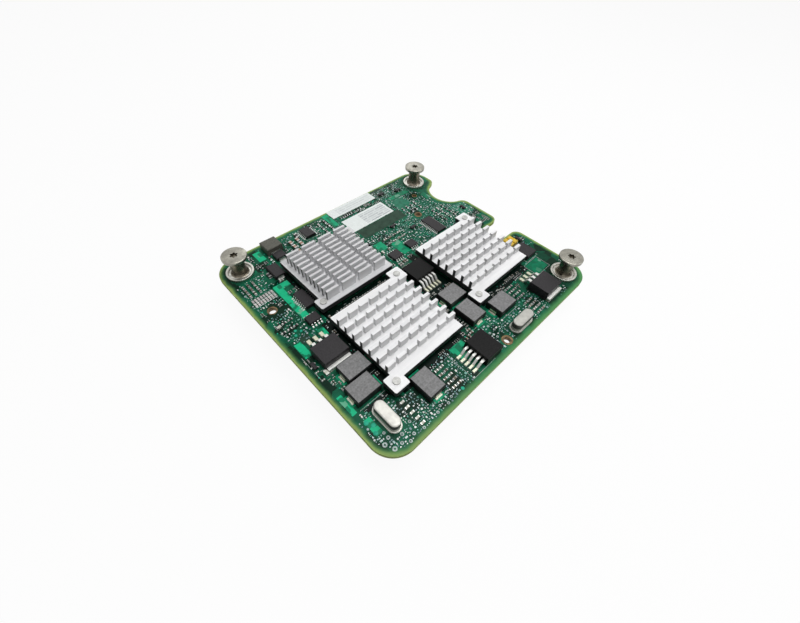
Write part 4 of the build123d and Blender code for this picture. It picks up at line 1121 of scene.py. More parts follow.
def sink_finish(node, colour, painted_sink_shade, side_shade_share):
    """Bare aluminium: drawn lines along the fins, saw marks on top, and sides in painted shade.

    The long faces of the fins carry painted shade, a share of the brightness of their tops. The outer ends of
    the fins, and the sides of the base below its top face, are painted nearly black as painted shade.
    """
    material, tree, place = new_material(f"aluminium_{node}", Metallic=0.05, Specular_IOR_Level=0.3)
    base_top = BOARD_TOP + SINK_BASE_TOP * MM
    points = node_corners(node)
    first_fin = points[points[:, 2] > base_top + 0.5 * MM, 0].min()
    faces = facing(tree)
    drawn_tone, drawn_height = use_grain(tree, place, 500.0, (0.06, 1.0, 1.0))
    cut_tone, cut_height = use_grain(tree, place, 500.0, (1.0, 0.06, 1.0))
    axes = axes_of(tree, place)
    below = spread(tree, axes["Z"], base_top - 0.35 * MM, base_top - 0.1 * MM, 1.0, 0.0)
    outer = spread(tree, axes["X"], first_fin + 0.2 * MM, first_fin + 0.5 * MM, 0.93, 0.0)
    ends = product(tree, faces["Endwise"], outer)
    # Painted shade: the sides of the base below its top and the outer ends of the fins go nearly black
    dull = maths(tree, "MAXIMUM", product(tree, faces["Side"], below), ends)
    shade = toned(tree, drawn_tone, colour, 0.88, 1.06)
    # Painted shade: the long faces of the fins keep only a share of the tops' brightness
    side = toned(tree, drawn_tone, colour, side_shade_share - 0.06, side_shade_share + 0.06)
    shade = mixed(tree, dull, mixed(tree, faces["Side"], shade, side), opaque(painted_sink_shade))
    marks = mixed(tree, faces["Up"], drawn_height, cut_height)
    return surfaced(material, shade, scaled(tree, cut_tone, 0.55, 0.4), marks, 0.012)


def turned_finish(name, colour, axis, dark_radius, low, high):
    """Nickel plate over turning marks, darker and browner inside a radius between two heights."""
    material, tree, place = new_material(name, Metallic=1.0)
    rings = use_group(tree, rings_group(), Vector=place, Axis=(axis[0], axis[1], 0.0), Pitch=0.22 * MM).outputs
    tone, height = use_grain(tree, place, 650.0)
    level = axes_of(tree, place)["Z"]
    soft = 0.12 * MM
    # Darker and browner inside the radius, between the two heights
    darker_inside = product(
        tree, spread(tree, rings["Distance"], dark_radius - soft, dark_radius, 0.9, 0.0),
        spread(tree, level, low, low + soft), spread(tree, level, high - soft, high, 1.0, 0.0),
    )
    brown = weighted(colour, (0.24, 0.21, 0.17))
    shade = mixed(tree, darker_inside, toned(tree, tone, colour, 0.7, 1.25), toned(tree, tone, brown, 0.5, 1.8))
    marks = maths(tree, "ADD", rings["Height"], height)
    return surfaced(material, shade, scaled(tree, tone, 0.36, 0.24), marks, 0.006)


def inductor_finish(look):
    """Sintered powder: a ground grey top with fine scratches, and coated black sides."""
    material, tree, place = new_material("inductor_powder", Specular_IOR_Level=0.2)
    up = facing(tree)["Up"]
    speckle, height = use_grain(tree, place, 1600.0)
    scratch, _ = use_grain(tree, place, 900.0, (0.05, 1.0, 1.0))
    top = toned(tree, speckle, look.inductor_top, 0.72, 1.2)
    top = mixed(tree, spread(tree, scratch, 0.75, 1.0, 0.0, 0.5), top, opaque(look.inductor_top, 1.7))
    shade = mixed(tree, up, opaque(look.inductor_side), top)
    return surfaced(material, shade, scaled(tree, up, 0.42, 0.55), height, 0.01)


def band_finish(name, stops, reach):
    """Tin plate in bands of height above the board: colours at shares of a reach, with a little stain."""
    material, tree, place = new_material(name, Metallic=0.4)
    tone, height = use_grain(tree, place, 1500.0)
    shade = ramp(tree, spread(tree, axes_of(tree, place)["Z"], BOARD_TOP, BOARD_TOP + reach), stops)
    shade = mixed(tree, scaled(tree, tone, 0.22, 0.0), shade, opaque(TIN_STAIN))
    return surfaced(material, shade, scaled(tree, tone, 0.45, 0.3), height, 0.003)


def can_finish(name, colour, top):
    """Drawn can: bright and slightly cloudy, with painted shade darkening the upper part of its wall."""
    material, tree, place = new_material(name, Metallic=0.2)
    tone, height = use_grain(tree, place, 700.0)
    # Painted shade: the wall is darkened nearly to black from 2.1 mm below the top upwards
    drawn = spread(tree, axes_of(tree, place)["Z"], top - 2.4 * MM, top - 2.1 * MM, 0.1, 0.95)
    wall = product(tree, facing(tree)["Side"], drawn)
    shade = mixed(tree, wall, toned(tree, tone, colour, 0.88, 1.06), opaque(colour, 0.03))
    return surfaced(material, shade, scaled(tree, tone, 0.55, 0.42), height, 0.006)


def tinted_finish(name, stops, roughness, metallic=0.0):
    """Small parts: each takes its colour from its own tint, with a little mottle."""
    material, tree, place = new_material(name, Metallic=metallic, Specular_IOR_Level=0.3)
    tint = add(tree, "ShaderNodeAttribute", {"attribute_name": "tint"}).outputs["Fac"]
    tone, height = use_grain(tree, place, 2600.0)
    shade = ramp(tree, tint, stops, steps=not metallic)
    shade = mixed(tree, scaled(tree, tone, 0.35, 0.0), shade, opaque(MOTTLE))
    return surfaced(material, shade, scaled(tree, tone, roughness + 0.08, roughness - 0.06), height, 0.006)


def label_finish(node, look, start, strength):
    """Paper with a pale printed field of plain blocks, from a share of its length to its far end."""
    low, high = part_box(node)
    material, tree, place = new_material(f"paper_{node}", Specular_IOR_Level=0.2)
    axes = axes_of(tree, place)
    across = spread(tree, axes["X"], low.x, high.x)
    along = spread(tree, axes["Y"], low.y, high.y)
    bars = add(
        tree, "ShaderNodeTexBrick", {"offset": 0.37, "squash": 1.7, "squash_frequency": 2}, Vector=place,
        Scale=1.0, Mortar_Size=0.35 * MM, Brick_Width=3.9 * MM, Row_Height=1.35 * MM, Mortar_Smooth=0.1,
        Color1=(1.0, 1.0, 1.0, 1.0), Color2=(0.2, 0.2, 0.2, 1.0), Mortar=(0.0, 0.0, 0.0, 1.0),
    )
    ink = product(
        tree, maths(tree, "GREATER_THAN", across, start), maths(tree, "LESS_THAN", across, 0.96),
        maths(tree, "GREATER_THAN", along, 0.1), maths(tree, "LESS_THAN", along, 0.88),
        scaled(tree, bars.outputs["Color"], 0.25 * strength, strength),
    )
    tone, height = use_grain(tree, place, 1500.0)
    shade = mixed(tree, ink, toned(tree, tone, look.paper, 0.96, 1.05), opaque(look.label_print))
    return surfaced(material, shade, scaled(tree, tone, 0.6, 0.5), height, 0.003)


def flat_plates(areas, thickness):
    """Thin plates with slanted edges over flat areas given by two opposite corners."""
    area = np.array(areas)
    places = on_board((area[:, :2] + area[:, 2:]) / 2)
    return blocks(places, raised((area[:, 2:] - area[:, :2]) * MM, thickness), chamfer=thickness / 2)


def dress_board(scene):
    """Finish the board, and lay its bright, dark and teal copper and its painted shadow areas as thin plates."""
    look = scene.card_board
    finish_node("circuit_board", board_finish(look))
    for name, areas, finish in (
        ("bright_copper_areas", COPPER_AREAS, copper_finish(look)),
        ("dark_copper_areas", DARK_AREAS, mask_finish("dark_copper", look.plain_mask)),
        ("teal_copper_areas", TEAL_AREAS, mask_finish("teal_copper", look.teal_mask)),
        # Painted shadow: near-black plates beside the heat sinks and tall parts
        ("keep_out_areas", SHADOW_PAINTED_AREAS, mask_finish("keep_out_mask", look.painted_shadow_colour)),
    ):
        put_piece(name, flat_plates(areas, look.copper_thickness), finish)


def trace_routes(look, draw):
    """Bundles of routes: straight, a turn of 45 degrees and straight again, clear of outline and holes."""
    free = FreeBoard(TRACE_RIM)
    free.take_nodes(nodes_like("screw_ferrule"), NODE_ROOM)
    free.take_rounds(TOOLING_HOLES, TRACE_HOLE_ROOM)
    routes = []
    for _ in range(look.bundles):
        start = draw.random(2) * (BOARD_WIDTH, BOARD_DEPTH)
        heading = draw.integers(8) * math.pi / 4
        turn = heading + draw.choice((-1, 1)) * math.pi / 4
        first, second = draw.uniform(*TRACE_RUNS, 2)
        corner = start + first * np.array((math.cos(heading), math.sin(heading)))
        end = corner + second * np.array((math.cos(turn), math.sin(turn)))
        count = int(draw.integers(*TRACE_COUNTS))
        reach = count * look.trace_pitch / MM / 2
        share = np.linspace(0.0, 1.0, 24)[:, None]
        path = np.concatenate([start + share * (corner - start), corner + share * (end - corner)])
        low, high = path.min(axis=0) - reach, path.max(axis=0) + reach
        if np.any(low < 0.0) or np.any(high > (BOARD_WIDTH, BOARD_DEPTH)):
            continue
        cells = np.concatenate([path - reach, path, path + reach])
        cells = np.minimum(cells / LAYOUT_STEP, np.array(free.taken.shape) - 1).astype(int)
        if not free.taken[cells[:, 0], cells[:, 1]].any():
            offsets = (np.arange(count) - (count - 1) / 2) * look.trace_pitch
            routes.append((on_board([start, corner, end])[:, :2], offsets))
    return routes


def run_traces(scene):
    """Run bundles of traces over both faces of the board."""
    look = scene.card_board
    draw = np.random.default_rng(scene.card_parts.seed + 1)
    finish = mask_finish("mask_on_traces", look.mask_on_copper)
    thickness = look.copper_thickness * TRACE_SHARE
    for name, z in (("traces_top", BOARD_TOP), ("traces_underside", BOARD_UNDERSIDE - thickness)):
        routes = trace_routes(look, draw)
        surface = join(*[ribbons(route, offsets, look.trace_width, thickness, z) for route, offsets in routes])
        put_piece(name, surface, finish)


def ring_profile(inner, outer, height):
    """A flat ring's section, closed on itself."""
    return [(inner, 0.0), (inner, height), (outer, height), (outer, 0.0), (inner, 0.0)]


def dome_profile(radius, height):
    """A low dome: r = R cos t, z = h sin t, from its foot to its top, closed underneath."""
    t = np.linspace(0.0, math.pi / 2, 5)
    return [(0.0, 0.0)] + [(radius * math.cos(a), height * math.sin(a)) for a in t[:-1]] + [(0.0, height)]


def set_vias(scene):
    """Set bare vias on both faces, and tented vias and mask pads on the top one."""
    seed = scene.card_parts.seed
    draw = np.random.default_rng(seed + 2)
    ring = ring_profile(*VIA_RING, PLATE_HEIGHT)
    hanging = [(radius, -z) for radius, z in ring]
    top = on_board(laid_out(scene)["vias"])
    under = on_board(underside_layout(seed)["vias"], BOARD_UNDERSIDE)
    bare = draw.random(len(top)) < BARE_VIAS
    rings = join(turned(top[bare], ring, VIA_SIDES), turned(under, hanging, VIA_SIDES))
    plate = grained("via_plate", scene.card_metals.solder, 0.4, 1500.0, metallic=0.3, tones=(0.3, 1.1))
    put_piece("via_rings", rings, plate, weld=True)
    tented = turned(top[~bare], dome_profile(TENTED_RADIUS, PLATE_HEIGHT), VIA_SIDES)
    mask_pads = sized_rounds(np.array(MASK_PADS), dome_profile(0.5, 0.09 * MM), PAD_SIDES)
    teal = mask_finish("tented_via", weighted(scene.card_board.bright_copper, (3.0, 1.3, 1.7)))
    put_piece("tented_vias", join(tented, mask_pads), teal, weld=True)


def set_pads(scene):
    """Set ring pads, and round and oblong test pads over the areas sown with them."""
    ring_pads = sized_rounds(np.array(RING_PADS), ring_profile(0.2, 0.5, 0.05 * MM), PAD_SIDES)
    tin = grained("ring_pad_tin", RING_PAD_TIN, 0.42, 1500.0, metallic=0.1, tones=(0.45, 1.2))
    put_piece("ring_pads", ring_pads, tin, weld=True)
    pads = laid_out(scene)["pads"]
    rounds, oblongs = pads[pads[:, 4] < ROUND_PADS], pads[pads[:, 4] >= ROUND_PADS]
    section = ring_profile(0.14, 0.5, PLATE_HEIGHT)
    spans = raised(oblongs[:, 2:3] * (0.95, 0.6), PLATE_HEIGHT / MM)
    turns = np.round(oblongs[:, 4] * 10) * math.pi / 2
    surface = join(
        sized_rounds(rounds, section, VIA_SIDES),
        blocks(on_board(oblongs), spans * MM, turns, chamfer=PLATE_HEIGHT / 3),
    )
    tint = np.concatenate([
        np.repeat(rounds[:, 3], len(section) * VIA_SIDES), np.repeat(oblongs[:, 3], BLOCK_POINTS),
    ])
    plate = tinted_finish("pad_plate", PAD_STOPS, 0.4, metallic=0.15)
    put_piece("test_pads", surface, plate, tint=tint)


def set_eyelets(scene):
    """Set an eyelet in each tooling hole: a thin barrel with a flange on each face."""
    low, high = BOARD_UNDERSIDE, BOARD_TOP
    foot, top = low - PLATE_HEIGHT, high + PLATE_HEIGHT
    eyelets = []
    for (x, y, diameter), width in zip(TOOLING_HOLES, EYELET_FLANGES):
        bore, barrel = (diameter / 2 - EYELET_WALL) * MM, diameter / 2 * MM
        flange = (diameter / 2 + width) * MM
        section = [
            (bore, foot), (flange, foot), (flange, low), (barrel, low), (barrel, high), (flange, high),
            (flange, top), (bore, top), (bore, foot),
        ]
        eyelets.append(turned(on_board([(x, y)], 0.0), section, EYELET_SIDES))
    copper = grained("eyelet_copper", scene.card_metals.copper, 0.45, 900.0, metallic=0.4, tones=(0.6, 3.2))
    put_piece("hole_eyelets", join(*eyelets), copper, weld=True)


def plate_holes(scene):
    """Set the vias, the pads and the eyelets."""
    set_vias(scene)
    set_pads(scene)
    set_eyelets(scene)


def outline_bars(low, high, width):
    """The four bars of a printed outline: middles and sizes."""
    low, high = np.asarray(low), np.asarray(high)
    middle, size = (low + high) / 2, high - low
    places = [(middle[0], low[1]), (middle[0], high[1]), (low[0], middle[1]), (high[0], middle[1])]
    sizes = [(size[0] + width, width), (size[0] + width, width), (width, size[1]), (width, size[1])]
    return places, sizes


def print_silkscreen(scene):
    """Print outlines round some of the parts, single lines, and a short bar beside some small parts."""
    look = scene.card_board
    width, thickness = look.silk_width, look.silk_thickness
    room, below, overhang, bar = 0.7 * MM, 0.9 * MM, 0.6 * MM, 1.1 * MM
    places, sizes = [], []
    for node in nodes_like("bus_buffer", "memory_chip", "clock"):
        low, high = (np.array(corner)[:2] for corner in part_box(node))
        bar_places, bar_sizes = outline_bars(low - room, high + room, width)
        places += bar_places
        sizes += bar_sizes
    for node in nodes_like("power_inductor"):
        low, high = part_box(node)
        places.append(((low.x + high.x) / 2, low.y - below))
        sizes.append((high.x - low.x + overhang, width))
    for start, end in SILK_LINES:
        (x0, y0), (x1, y1) = on_board([start, end])[:, :2]
        places.append(((x0 + x1) / 2, (y0 + y1) / 2))
        sizes.append((abs(x1 - x0) + width, abs(y1 - y0) + width))
    lines = blocks(raised(places, BOARD_TOP), raised(sizes, thickness), chamfer=thickness / 3)
    marks = laid_out(scene)["marks"]
    turns = marks[:, 2] * math.pi / 2
    bars = blocks(on_board(marks), (bar, width, thickness), turns, chamfer=thickness / 3)
    finish = grained("silk_ink", look.silk, 0.6, 2200.0, depth=0.006, tones=(0.6, 1.15))
    put_piece("silkscreen", join(lines, bars), finish)


def dress_heat_sinks(scene):
    """Finish the three heat sinks and their anchors, and the chips and pads that they cover."""
    metals = scene.card_metals
    # Each sink's share is the painted shade on its fins' long faces, the part of the tops' brightness that they
    # keep
    for side, colour, share in (
        ("front", metals.bright_sink, 0.78), ("right", metals.bright_sink, 0.74), ("left", metals.grey_sink, 1.0),
    ):
        node = f"heat_sink_{side}"
        finish_node(node, sink_finish(node, colour, metals.painted_sink_shade, share))
    finish_node("heat_sink_anchors", grained("stud_metal", STUD_METAL, 0.5, 1200.0, metallic=0.3))
    finish_nodes(grained("thermal_pad", PAD_GREY, 0.6, 1500.0), "thermal_pad")
    chip = grained("chip_compound", scene.card_parts.package, 0.42, 1800.0, depth=0.008)
    finish_nodes(chip, "controller_chip")


def screw_profile(side, look):
    """Section of a captive screw from the bottom of its recess to its tip.

    The recess wall follows R(a) = 1.25 + 0.25 cos 6a, and the thread's radius falls and rises with
    |frac(z / pitch - a / 2 pi) - 1/2| as it goes down. The head's foot clears the sleeve, so that it can turn.
    """
    low, high = (np.array(corner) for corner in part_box(f"captive_screw_{side}"))
    clip_low, clip_high = (corner.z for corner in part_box(f"retaining_clip_{side}"))
    groove_low, groove_high = clip_low - CLIP_ROOM, clip_high + CLIP_ROOM
    head_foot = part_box(f"screw_ferrule_{side}")[1].z + HEAD_GAP
    angle = np.linspace(0.0, 2 * math.pi, TURNED_SIDES, endpoint=False)
    lobes = (1.25 + 0.25 * np.cos(6 * angle)) * MM
    head, shank, groove = (high[0] - low[0]) / 2, 1.7 * MM, 1.25 * MM
    edge, soft, point = 0.3 * MM, 0.12 * MM, 0.5 * MM
    top, floor = high[2], high[2] - 0.8 * MM
    rows = [
        (0.0, floor), (lobes * 0.94, floor), (lobes, floor + soft), (lobes, top - soft), (lobes + soft / 2, top),
    ]
    bend = np.linspace(0.0, math.pi / 2, 5)
    rows += [(head - edge * (1 - math.sin(b)), top - edge * (1 - math.cos(b))) for b in bend]
    rows += [(head, head_foot + soft), (head - soft / 3, head_foot + soft / 3), (head - soft, head_foot)]
    rows += [(shank, head_foot), (shank, groove_high), (groove, groove_high), (groove, groove_low)]
    for z in np.linspace(groove_low, low[2] + point, 60):
        phase = np.mod(z / look.thread_pitch - angle / (2 * math.pi), 1.0)
        rows.append((shank - look.thread_depth * np.abs(2 * phase - 1.0), z))
    rows += [(shank - point, low[2]), (0.0, low[2])]
    return rows


def sleeve_profile(side):
    """Section of a screw's sleeve: tail, barrel, rimmed and dished flange, skirt, neck and collar."""
    low, high = (np.array(corner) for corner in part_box(f"screw_ferrule_{side}"))
    flange, bore, barrel = (high[0] - low[0]) / 2, 1.78 * MM, 3.0 * MM
    skirt, neck, collar = 3.8 * MM, 2.7 * MM, 3.2 * MM
    rim, dish = BOARD_TOP + 1.2 * MM, BOARD_TOP + 0.5 * MM
    soft = 0.15 * MM
    collar_foot = high[2] - 1.3 * MM
    rise = np.linspace(0.0, 1.0, 7)
    skirt_rows = [(skirt + (neck - skirt) * (1 - (1 - s) ** 2), dish + 2.4 * MM * s * s) for s in rise]
    return [
        (bore, low[2]), (barrel - soft, low[2]), (barrel, low[2] + soft), (barrel, BOARD_TOP),
        (flange - soft, BOARD_TOP), (flange, BOARD_TOP + soft), (flange, rim - soft),
        (flange - soft / 3, rim - soft / 3), (flange - soft, rim), (flange - 0.75 * MM, rim),
        (flange - 0.9 * MM, rim - soft), (skirt + 0.3 * MM, dish + 0.02 * MM), *skirt_rows,
        (neck, collar_foot), (collar - soft, collar_foot), (collar, collar_foot + soft), (collar, high[2] - soft),
        (collar - soft, high[2]), (bore, high[2]), (bore, low[2]),
    ]


def turn_captive_screws(scene):
    """Turn the three captive screws, with lobed recess and thread, and their sleeves, and finish their clips."""
    metals = scene.card_metals
    clip = grained("spring_steel", metals.nickel, 0.32, 900.0, metallic=1.0, stretch=(0.1, 1.0, 1.0))
    for side in SIDES:
        screw, sleeve = f"captive_screw_{side}", f"screw_ferrule_{side}"
        low, high = (np.array(corner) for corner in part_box(screw))
        sleeve_low, sleeve_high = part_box(sleeve)
        axis = (low[:2] + high[:2]) / 2
        place = np.array([(*axis, 0.0)])
        recess, recess_low, recess_high = 1.6 * MM, high[2] - 0.9 * MM, high[2] - 0.05 * MM
        head = turned_finish(f"nickel_{side}", metals.nickel, axis, recess, recess_low, recess_high)
        dish, dish_low = (sleeve_high.x - sleeve_low.x) / 2 - 1.7 * MM, BOARD_TOP + 0.1 * MM
        bowl = turned_finish(f"sleeve_nickel_{side}", metals.sleeve, axis, dish, dish_low, sleeve_high.z)
        surface = turned(place, screw_profile(side, metals), TURNED_SIDES)
        put_piece(f"{screw}_turned", surface, head, f"{side}_screw", (screw,), weld=True)
        surface = turned(place, sleeve_profile(side), TURNED_SIDES)
        put_piece(f"{sleeve}_turned", surface, bowl, "card", (sleeve,), weld=True)
        finish_node(f"retaining_clip_{side}", clip)


def box_pads(low, high, grow, thickness):
    """Thin solder pads a little larger than the feet that stand on them."""
    low, high = np.asarray(low)[:, :2] - grow, np.asarray(high)[:, :2] + grow
    return blocks(raised((low + high) / 2, BOARD_TOP), raised(high - low, thickness), chamfer=thickness / 3)


def dress_power_packages(scene):
    """Finish the flat power packages and their leads, and lay a solder pad under each foot and each slug."""
    parts, metals = scene.card_parts, scene.card_metals
    bright, foot_height = tuple(metals.tin), 0.5 * MM
    bands = ((0.0, (0.46, 0.47, 0.29)), (0.35, (0.62, 0.62, 0.46)), (0.6, bright), (1.0, bright))
    tin = band_finish("lead_tin", bands, 1.2 * MM)
    finishes = {
        "power_transistor": grained("transistor_compound", parts.package, 0.45, 1800.0, depth=0.008),
        "regulator": grained("regulator_compound", parts.dark_package, 0.42, 1800.0, depth=0.008, gloss=0.1),
    }
    lows, highs = [], []
    for start, compound in finishes.items():
        for node in nodes_like(start):
            if not node.endswith("_leads"):
                finish_node(node, compound)
                continue
            finish_node(node, tin)
            points = node_corners(node)
            slug = points[:3 * SLUG_TRIANGLES]
            leads = points[3 * SLUG_TRIANGLES:].reshape(-1, 3 * LEAD_TRIANGLES, 3)
            near = leads[..., 2] < BOARD_TOP + foot_height
            lows += [slug.min(axis=0)] + [lead[foot].min(axis=0) for lead, foot in zip(leads, near)]
            highs += [slug.max(axis=0)] + [lead[foot].max(axis=0) for lead, foot in zip(leads, near)]
    solder = grained("power_solder", metals.solder, 0.4, 1500.0, metallic=0.6, depth=0.006, tones=(0.5, 0.8))
    put_piece("power_pads", box_pads(lows, highs, *SOLDER_PAD), solder)


def dress_inductors(scene):
    """Finish the power inductors and their end strips, and lay their solder pads and lands."""
    board = scene.card_board
    finish_nodes(inductor_finish(scene.card_parts), "power_inductor")
    shares = (0.0, 0.12, 0.16, 0.30, 0.36, 0.62, 0.70, 1.0)
    bands = tuple(zip(shares, 2 * (2 * (TERMINAL_PALE,) + 2 * (TERMINAL_DARK,))))
    finish_node("inductor_terminals", band_finish("terminal_tin", bands, 2.2 * MM))
    low, high = node_boxes("inductor_terminals")
    solder = grained("inductor_solder", scene.card_metals.solder, 0.34, 1500.0, metallic=0.4, tones=(0.4, 1.3))
    put_piece("inductor_pads", box_pads(low, high, *SOLDER_PAD), solder)
    surface = box_pads(low, high, LAND_MARGIN, LAND_SHARE * board.copper_thickness)
    put_piece("inductor_lands", surface, mask_finish("inductor_land", board.bright_copper))


def pin_runs():
    """Each plain pin as a run outwards: start, heading, reach, width and height.

    The mean of a pin's points, weighted by height, lies towards the case, so a pin heads away from it.
    """
    points = solids("chip_pins")
    low, high = points.min(axis=1), points.max(axis=1)
    drop = points[..., 2] - low[:, None, 2]
    weight = drop / drop.sum(axis=1, keepdims=True)
    upper = np.einsum("np,npk->nk", weight, points)[:, :2]
    middle, size = (low + high)[:, :2] / 2, high - low
    outward = middle - upper
    ahead = np.round(np.arctan2(outward[:, 1], outward[:, 0]) / (math.pi / 2)) * math.pi / 2
    lengthwise = np.abs(np.cos(ahead)) > 0.5
    reach = np.where(lengthwise, size[:, 0], size[:, 1])
    width = np.where(lengthwise, size[:, 1], size[:, 0])
    start = np.column_stack([middle - headings(ahead)[:, :2] * reach[:, None] / 2, low[:, 2]])
    return start, ahead, reach, width, size[:, 2:]


def dress_small_chips(scene):
    """Finish the small chips, bend a gull-wing lead for each plain pin, and mark the first pin with a dimple.

    A lead's path runs out of the case, down and flat on the board, in shares of its reach and of its height.
    """
    parts, metals = scene.card_parts, scene.card_metals
    chips = ("memory_chip", "bus_buffer", "sensor_chip", "clock_chip", "logic_chips")
    finish_nodes(grained("chip_moulding", parts.package, 0.45, 1800.0, depth=0.008, tones=(0.6, 1.2)), *chips)
    start, ahead, reach, width, rise = pin_runs()
    thickness, pad_thickness = 0.13 * MM, 0.04 * MM
    along = np.array([-0.12, 0.2, 0.3, 0.42, 0.52, 0.62, 1.0])
    up = np.array([1.0, 1.0, 0.94, 0.3, 0.06, 0.0, 0.0])
    paths = np.stack([reach[:, None] * along, (rise - thickness) * up], axis=-1)
    leads = bent_strips(start, ahead, paths, thickness, width)
    tin = grained("pin_tin", metals.dull_tin, 0.3, 2200.0, metallic=0.9, depth=0.005)
    put_piece("chip_leads", leads, tin, stands_for=("chip_pins",))
    toe = start + headings(ahead) * (reach * 0.85)[:, None]
    pads = blocks(toe, raised(np.column_stack([reach * 0.8, width * 1.25]), pad_thickness), ahead, 0.012 * MM)
    solder = grained("pad_solder", metals.solder, 0.3, 1800.0, metallic=0.9, tones=(0.6, 1.4))
    put_piece("chip_pads", pads, solder)
    boxes = zip(*[node_boxes(node) for node in nodes_like(*chips)])
    lows, highs = (np.concatenate(corners) for corners in boxes)
    inset = 0.8 * MM
    dimples = np.column_stack([lows[:, 0] + inset, highs[:, 1] - inset, highs[:, 2]])
    shine = grained("dimple_compound", parts.package, 0.25, 1800.0, tones=(1.4, 2.0))
    surface = turned(dimples, ring_profile(0.2 * MM, 0.34 * MM, 0.012 * MM), 16)
    put_piece("first_pin_marks", surface, shine, weld=True)


def draw_crystal_cans(scene):
    """Draw the two oval crystal cans: a thin flange, straight sides and a rolled top edge."""
    can = scene.card_metals.can
    # Painted shade: the front can takes a darker share of the same can colour than the left one
    for node, gain in (("crystal_left", 0.8), ("crystal_front", 0.54)):
        low, high = (np.array(corner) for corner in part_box(node))
        height, edge, flange = high[2] - low[2], 0.55 * MM, 0.5 * MM
        bend = np.linspace(0.0, math.pi / 2, 6)
        rows = [(flange + 3.0 * MM, 0.0), (0.05 * MM, 0.0), (0.0, 0.06 * MM), (0.0, flange - 0.1 * MM)]
        rows += [(0.06 * MM, flange), (flange - 0.05 * MM, flange), (flange, flange + 0.12 * MM)]
        rows += [(flange + edge * (1 - math.cos(b)), height - edge * (1 - math.sin(b))) for b in bend]
        rows += [(flange + 1.3 * MM, height), (flange + 3.0 * MM, height)]
        finish = can_finish(f"drawn_{node}", weighted(can, (gain, gain, gain)), high[2])
        surface = oval_can(low, high, rows)
        put_piece(f"{node}_can", surface, finish, stands_for=(node,), weld=True)


def dress_block_capacitors(scene):
    """Finish the tall, moulded and yellow capacitors, and wrap a metal strip round two ends of each.

    A strip is a thin plate up the end face with a foot on the board, as a rectangular section along an L path.
    """
    parts, metals = scene.card_parts, scene.card_metals
    finishes = {
        "tall_capacitor": grained("olive_moulding", parts.olive, 0.5, 1400.0, depth=0.008),
        "moulded_capacitors": grained("black_moulding", parts.package, 0.45, 1400.0, depth=0.008),
        "yellow_capacitors": grained(
            "yellow_moulding", parts.yellow, 0.36, 1400.0, depth=0.005, tones=(0.8, 1.25),
        ),
    }
    places, turns, widths = [], [], []
    for node, finish in finishes.items():
        finish_node(node, finish)
        for low, high in zip(*node_boxes(node)):
            middle, size = (low + high) / 2, high - low
            for sign in (-1.0, 1.0):
                places.append((middle[0], middle[1] + sign * size[1] / 2, BOARD_TOP))
                turns.append(sign * math.pi / 2)
                widths.append(size[0] * 0.62)
    foot, wall, rise = 0.5 * MM, 0.06 * MM, 1.1 * MM
    path = np.array([(foot, 0.0), (wall, 0.0), (wall / 2, rise / 2), (0.0, rise)])
    paths = np.broadcast_to(path, (len(places), 4, 2))
    tin = grained("strip_tin", metals.dull_tin, 0.34, 1500.0, metallic=0.8)
    surface = bent_strips(places, np.array(turns), paths, 0.08 * MM, widths)
    put_piece("capacitor_strips", surface, tin)


def node_rows(node, kind, draw):
    """A node's own small parts as layout rows, in the form of rows_of_chips."""
    low, high = node_boxes(node)
    size = (high - low) / MM
    upright = size[:, 1] > size[:, 0]
    middle = on_layout((low + high) / 2)
    tint = draw.random(len(low)) * PACKED_TINTS[kind]
    tint = np.where(within(middle, SALMON_AREA) & (kind == 0), SALMON_TINT, tint)
    for area in PALE_AREAS:
        tint = np.where(within(middle, area), PALE_TINT, tint)
    length, width = size[:, :2].max(axis=1), size[:, :2].min(axis=1)
    return np.column_stack([middle, upright, length, width, size[:, 2], np.full(len(low), kind), tint])


def listed_rows():
    """The single small parts that are listed one by one, in the form of rows_of_chips."""
    return np.array([
        (x, y, turn, length, width, height, 0 if kind == "capacitor" else 1, tint)
        for x, y, length, width, height, turn, kind, tint in LISTED_PARTS
    ])


def chip_surfaces(rows, z, way):
    """Bodies, metal caps and solder ramps of small parts on a face at height z, standing up or hanging down."""
    places = on_board(rows, z)
    turns = rows[:, 2] * math.pi / 2
    sizes = rows[:, 3:6] * MM * (1.0, 1.0, way)
    bodies = blocks(places, sizes * (0.62, 0.94, 0.96), turns, chamfer=0.03 * MM)
    caps, ramps = [], []
    for end in (0.0, math.pi):
        ahead = turns + end
        direction = headings(ahead)
        cap_length = sizes[:, 0] * 0.24
        caps.append(blocks(
            places + direction * (sizes[:, 0] / 2 - cap_length / 2)[:, None],
            np.column_stack([cap_length, sizes[:, 1], sizes[:, 2]]), turns, chamfer=0.05 * MM,
        ))
        ramps.append(solder_ramps(
            places + direction * (sizes[:, 0] / 2 - 0.01 * MM)[:, None], ahead,
            np.full(len(places), 0.22 * MM), sizes[:, 1] * 1.05, sizes[:, 2] * 0.65,
        ))
    return bodies, join(*caps), join(*ramps)


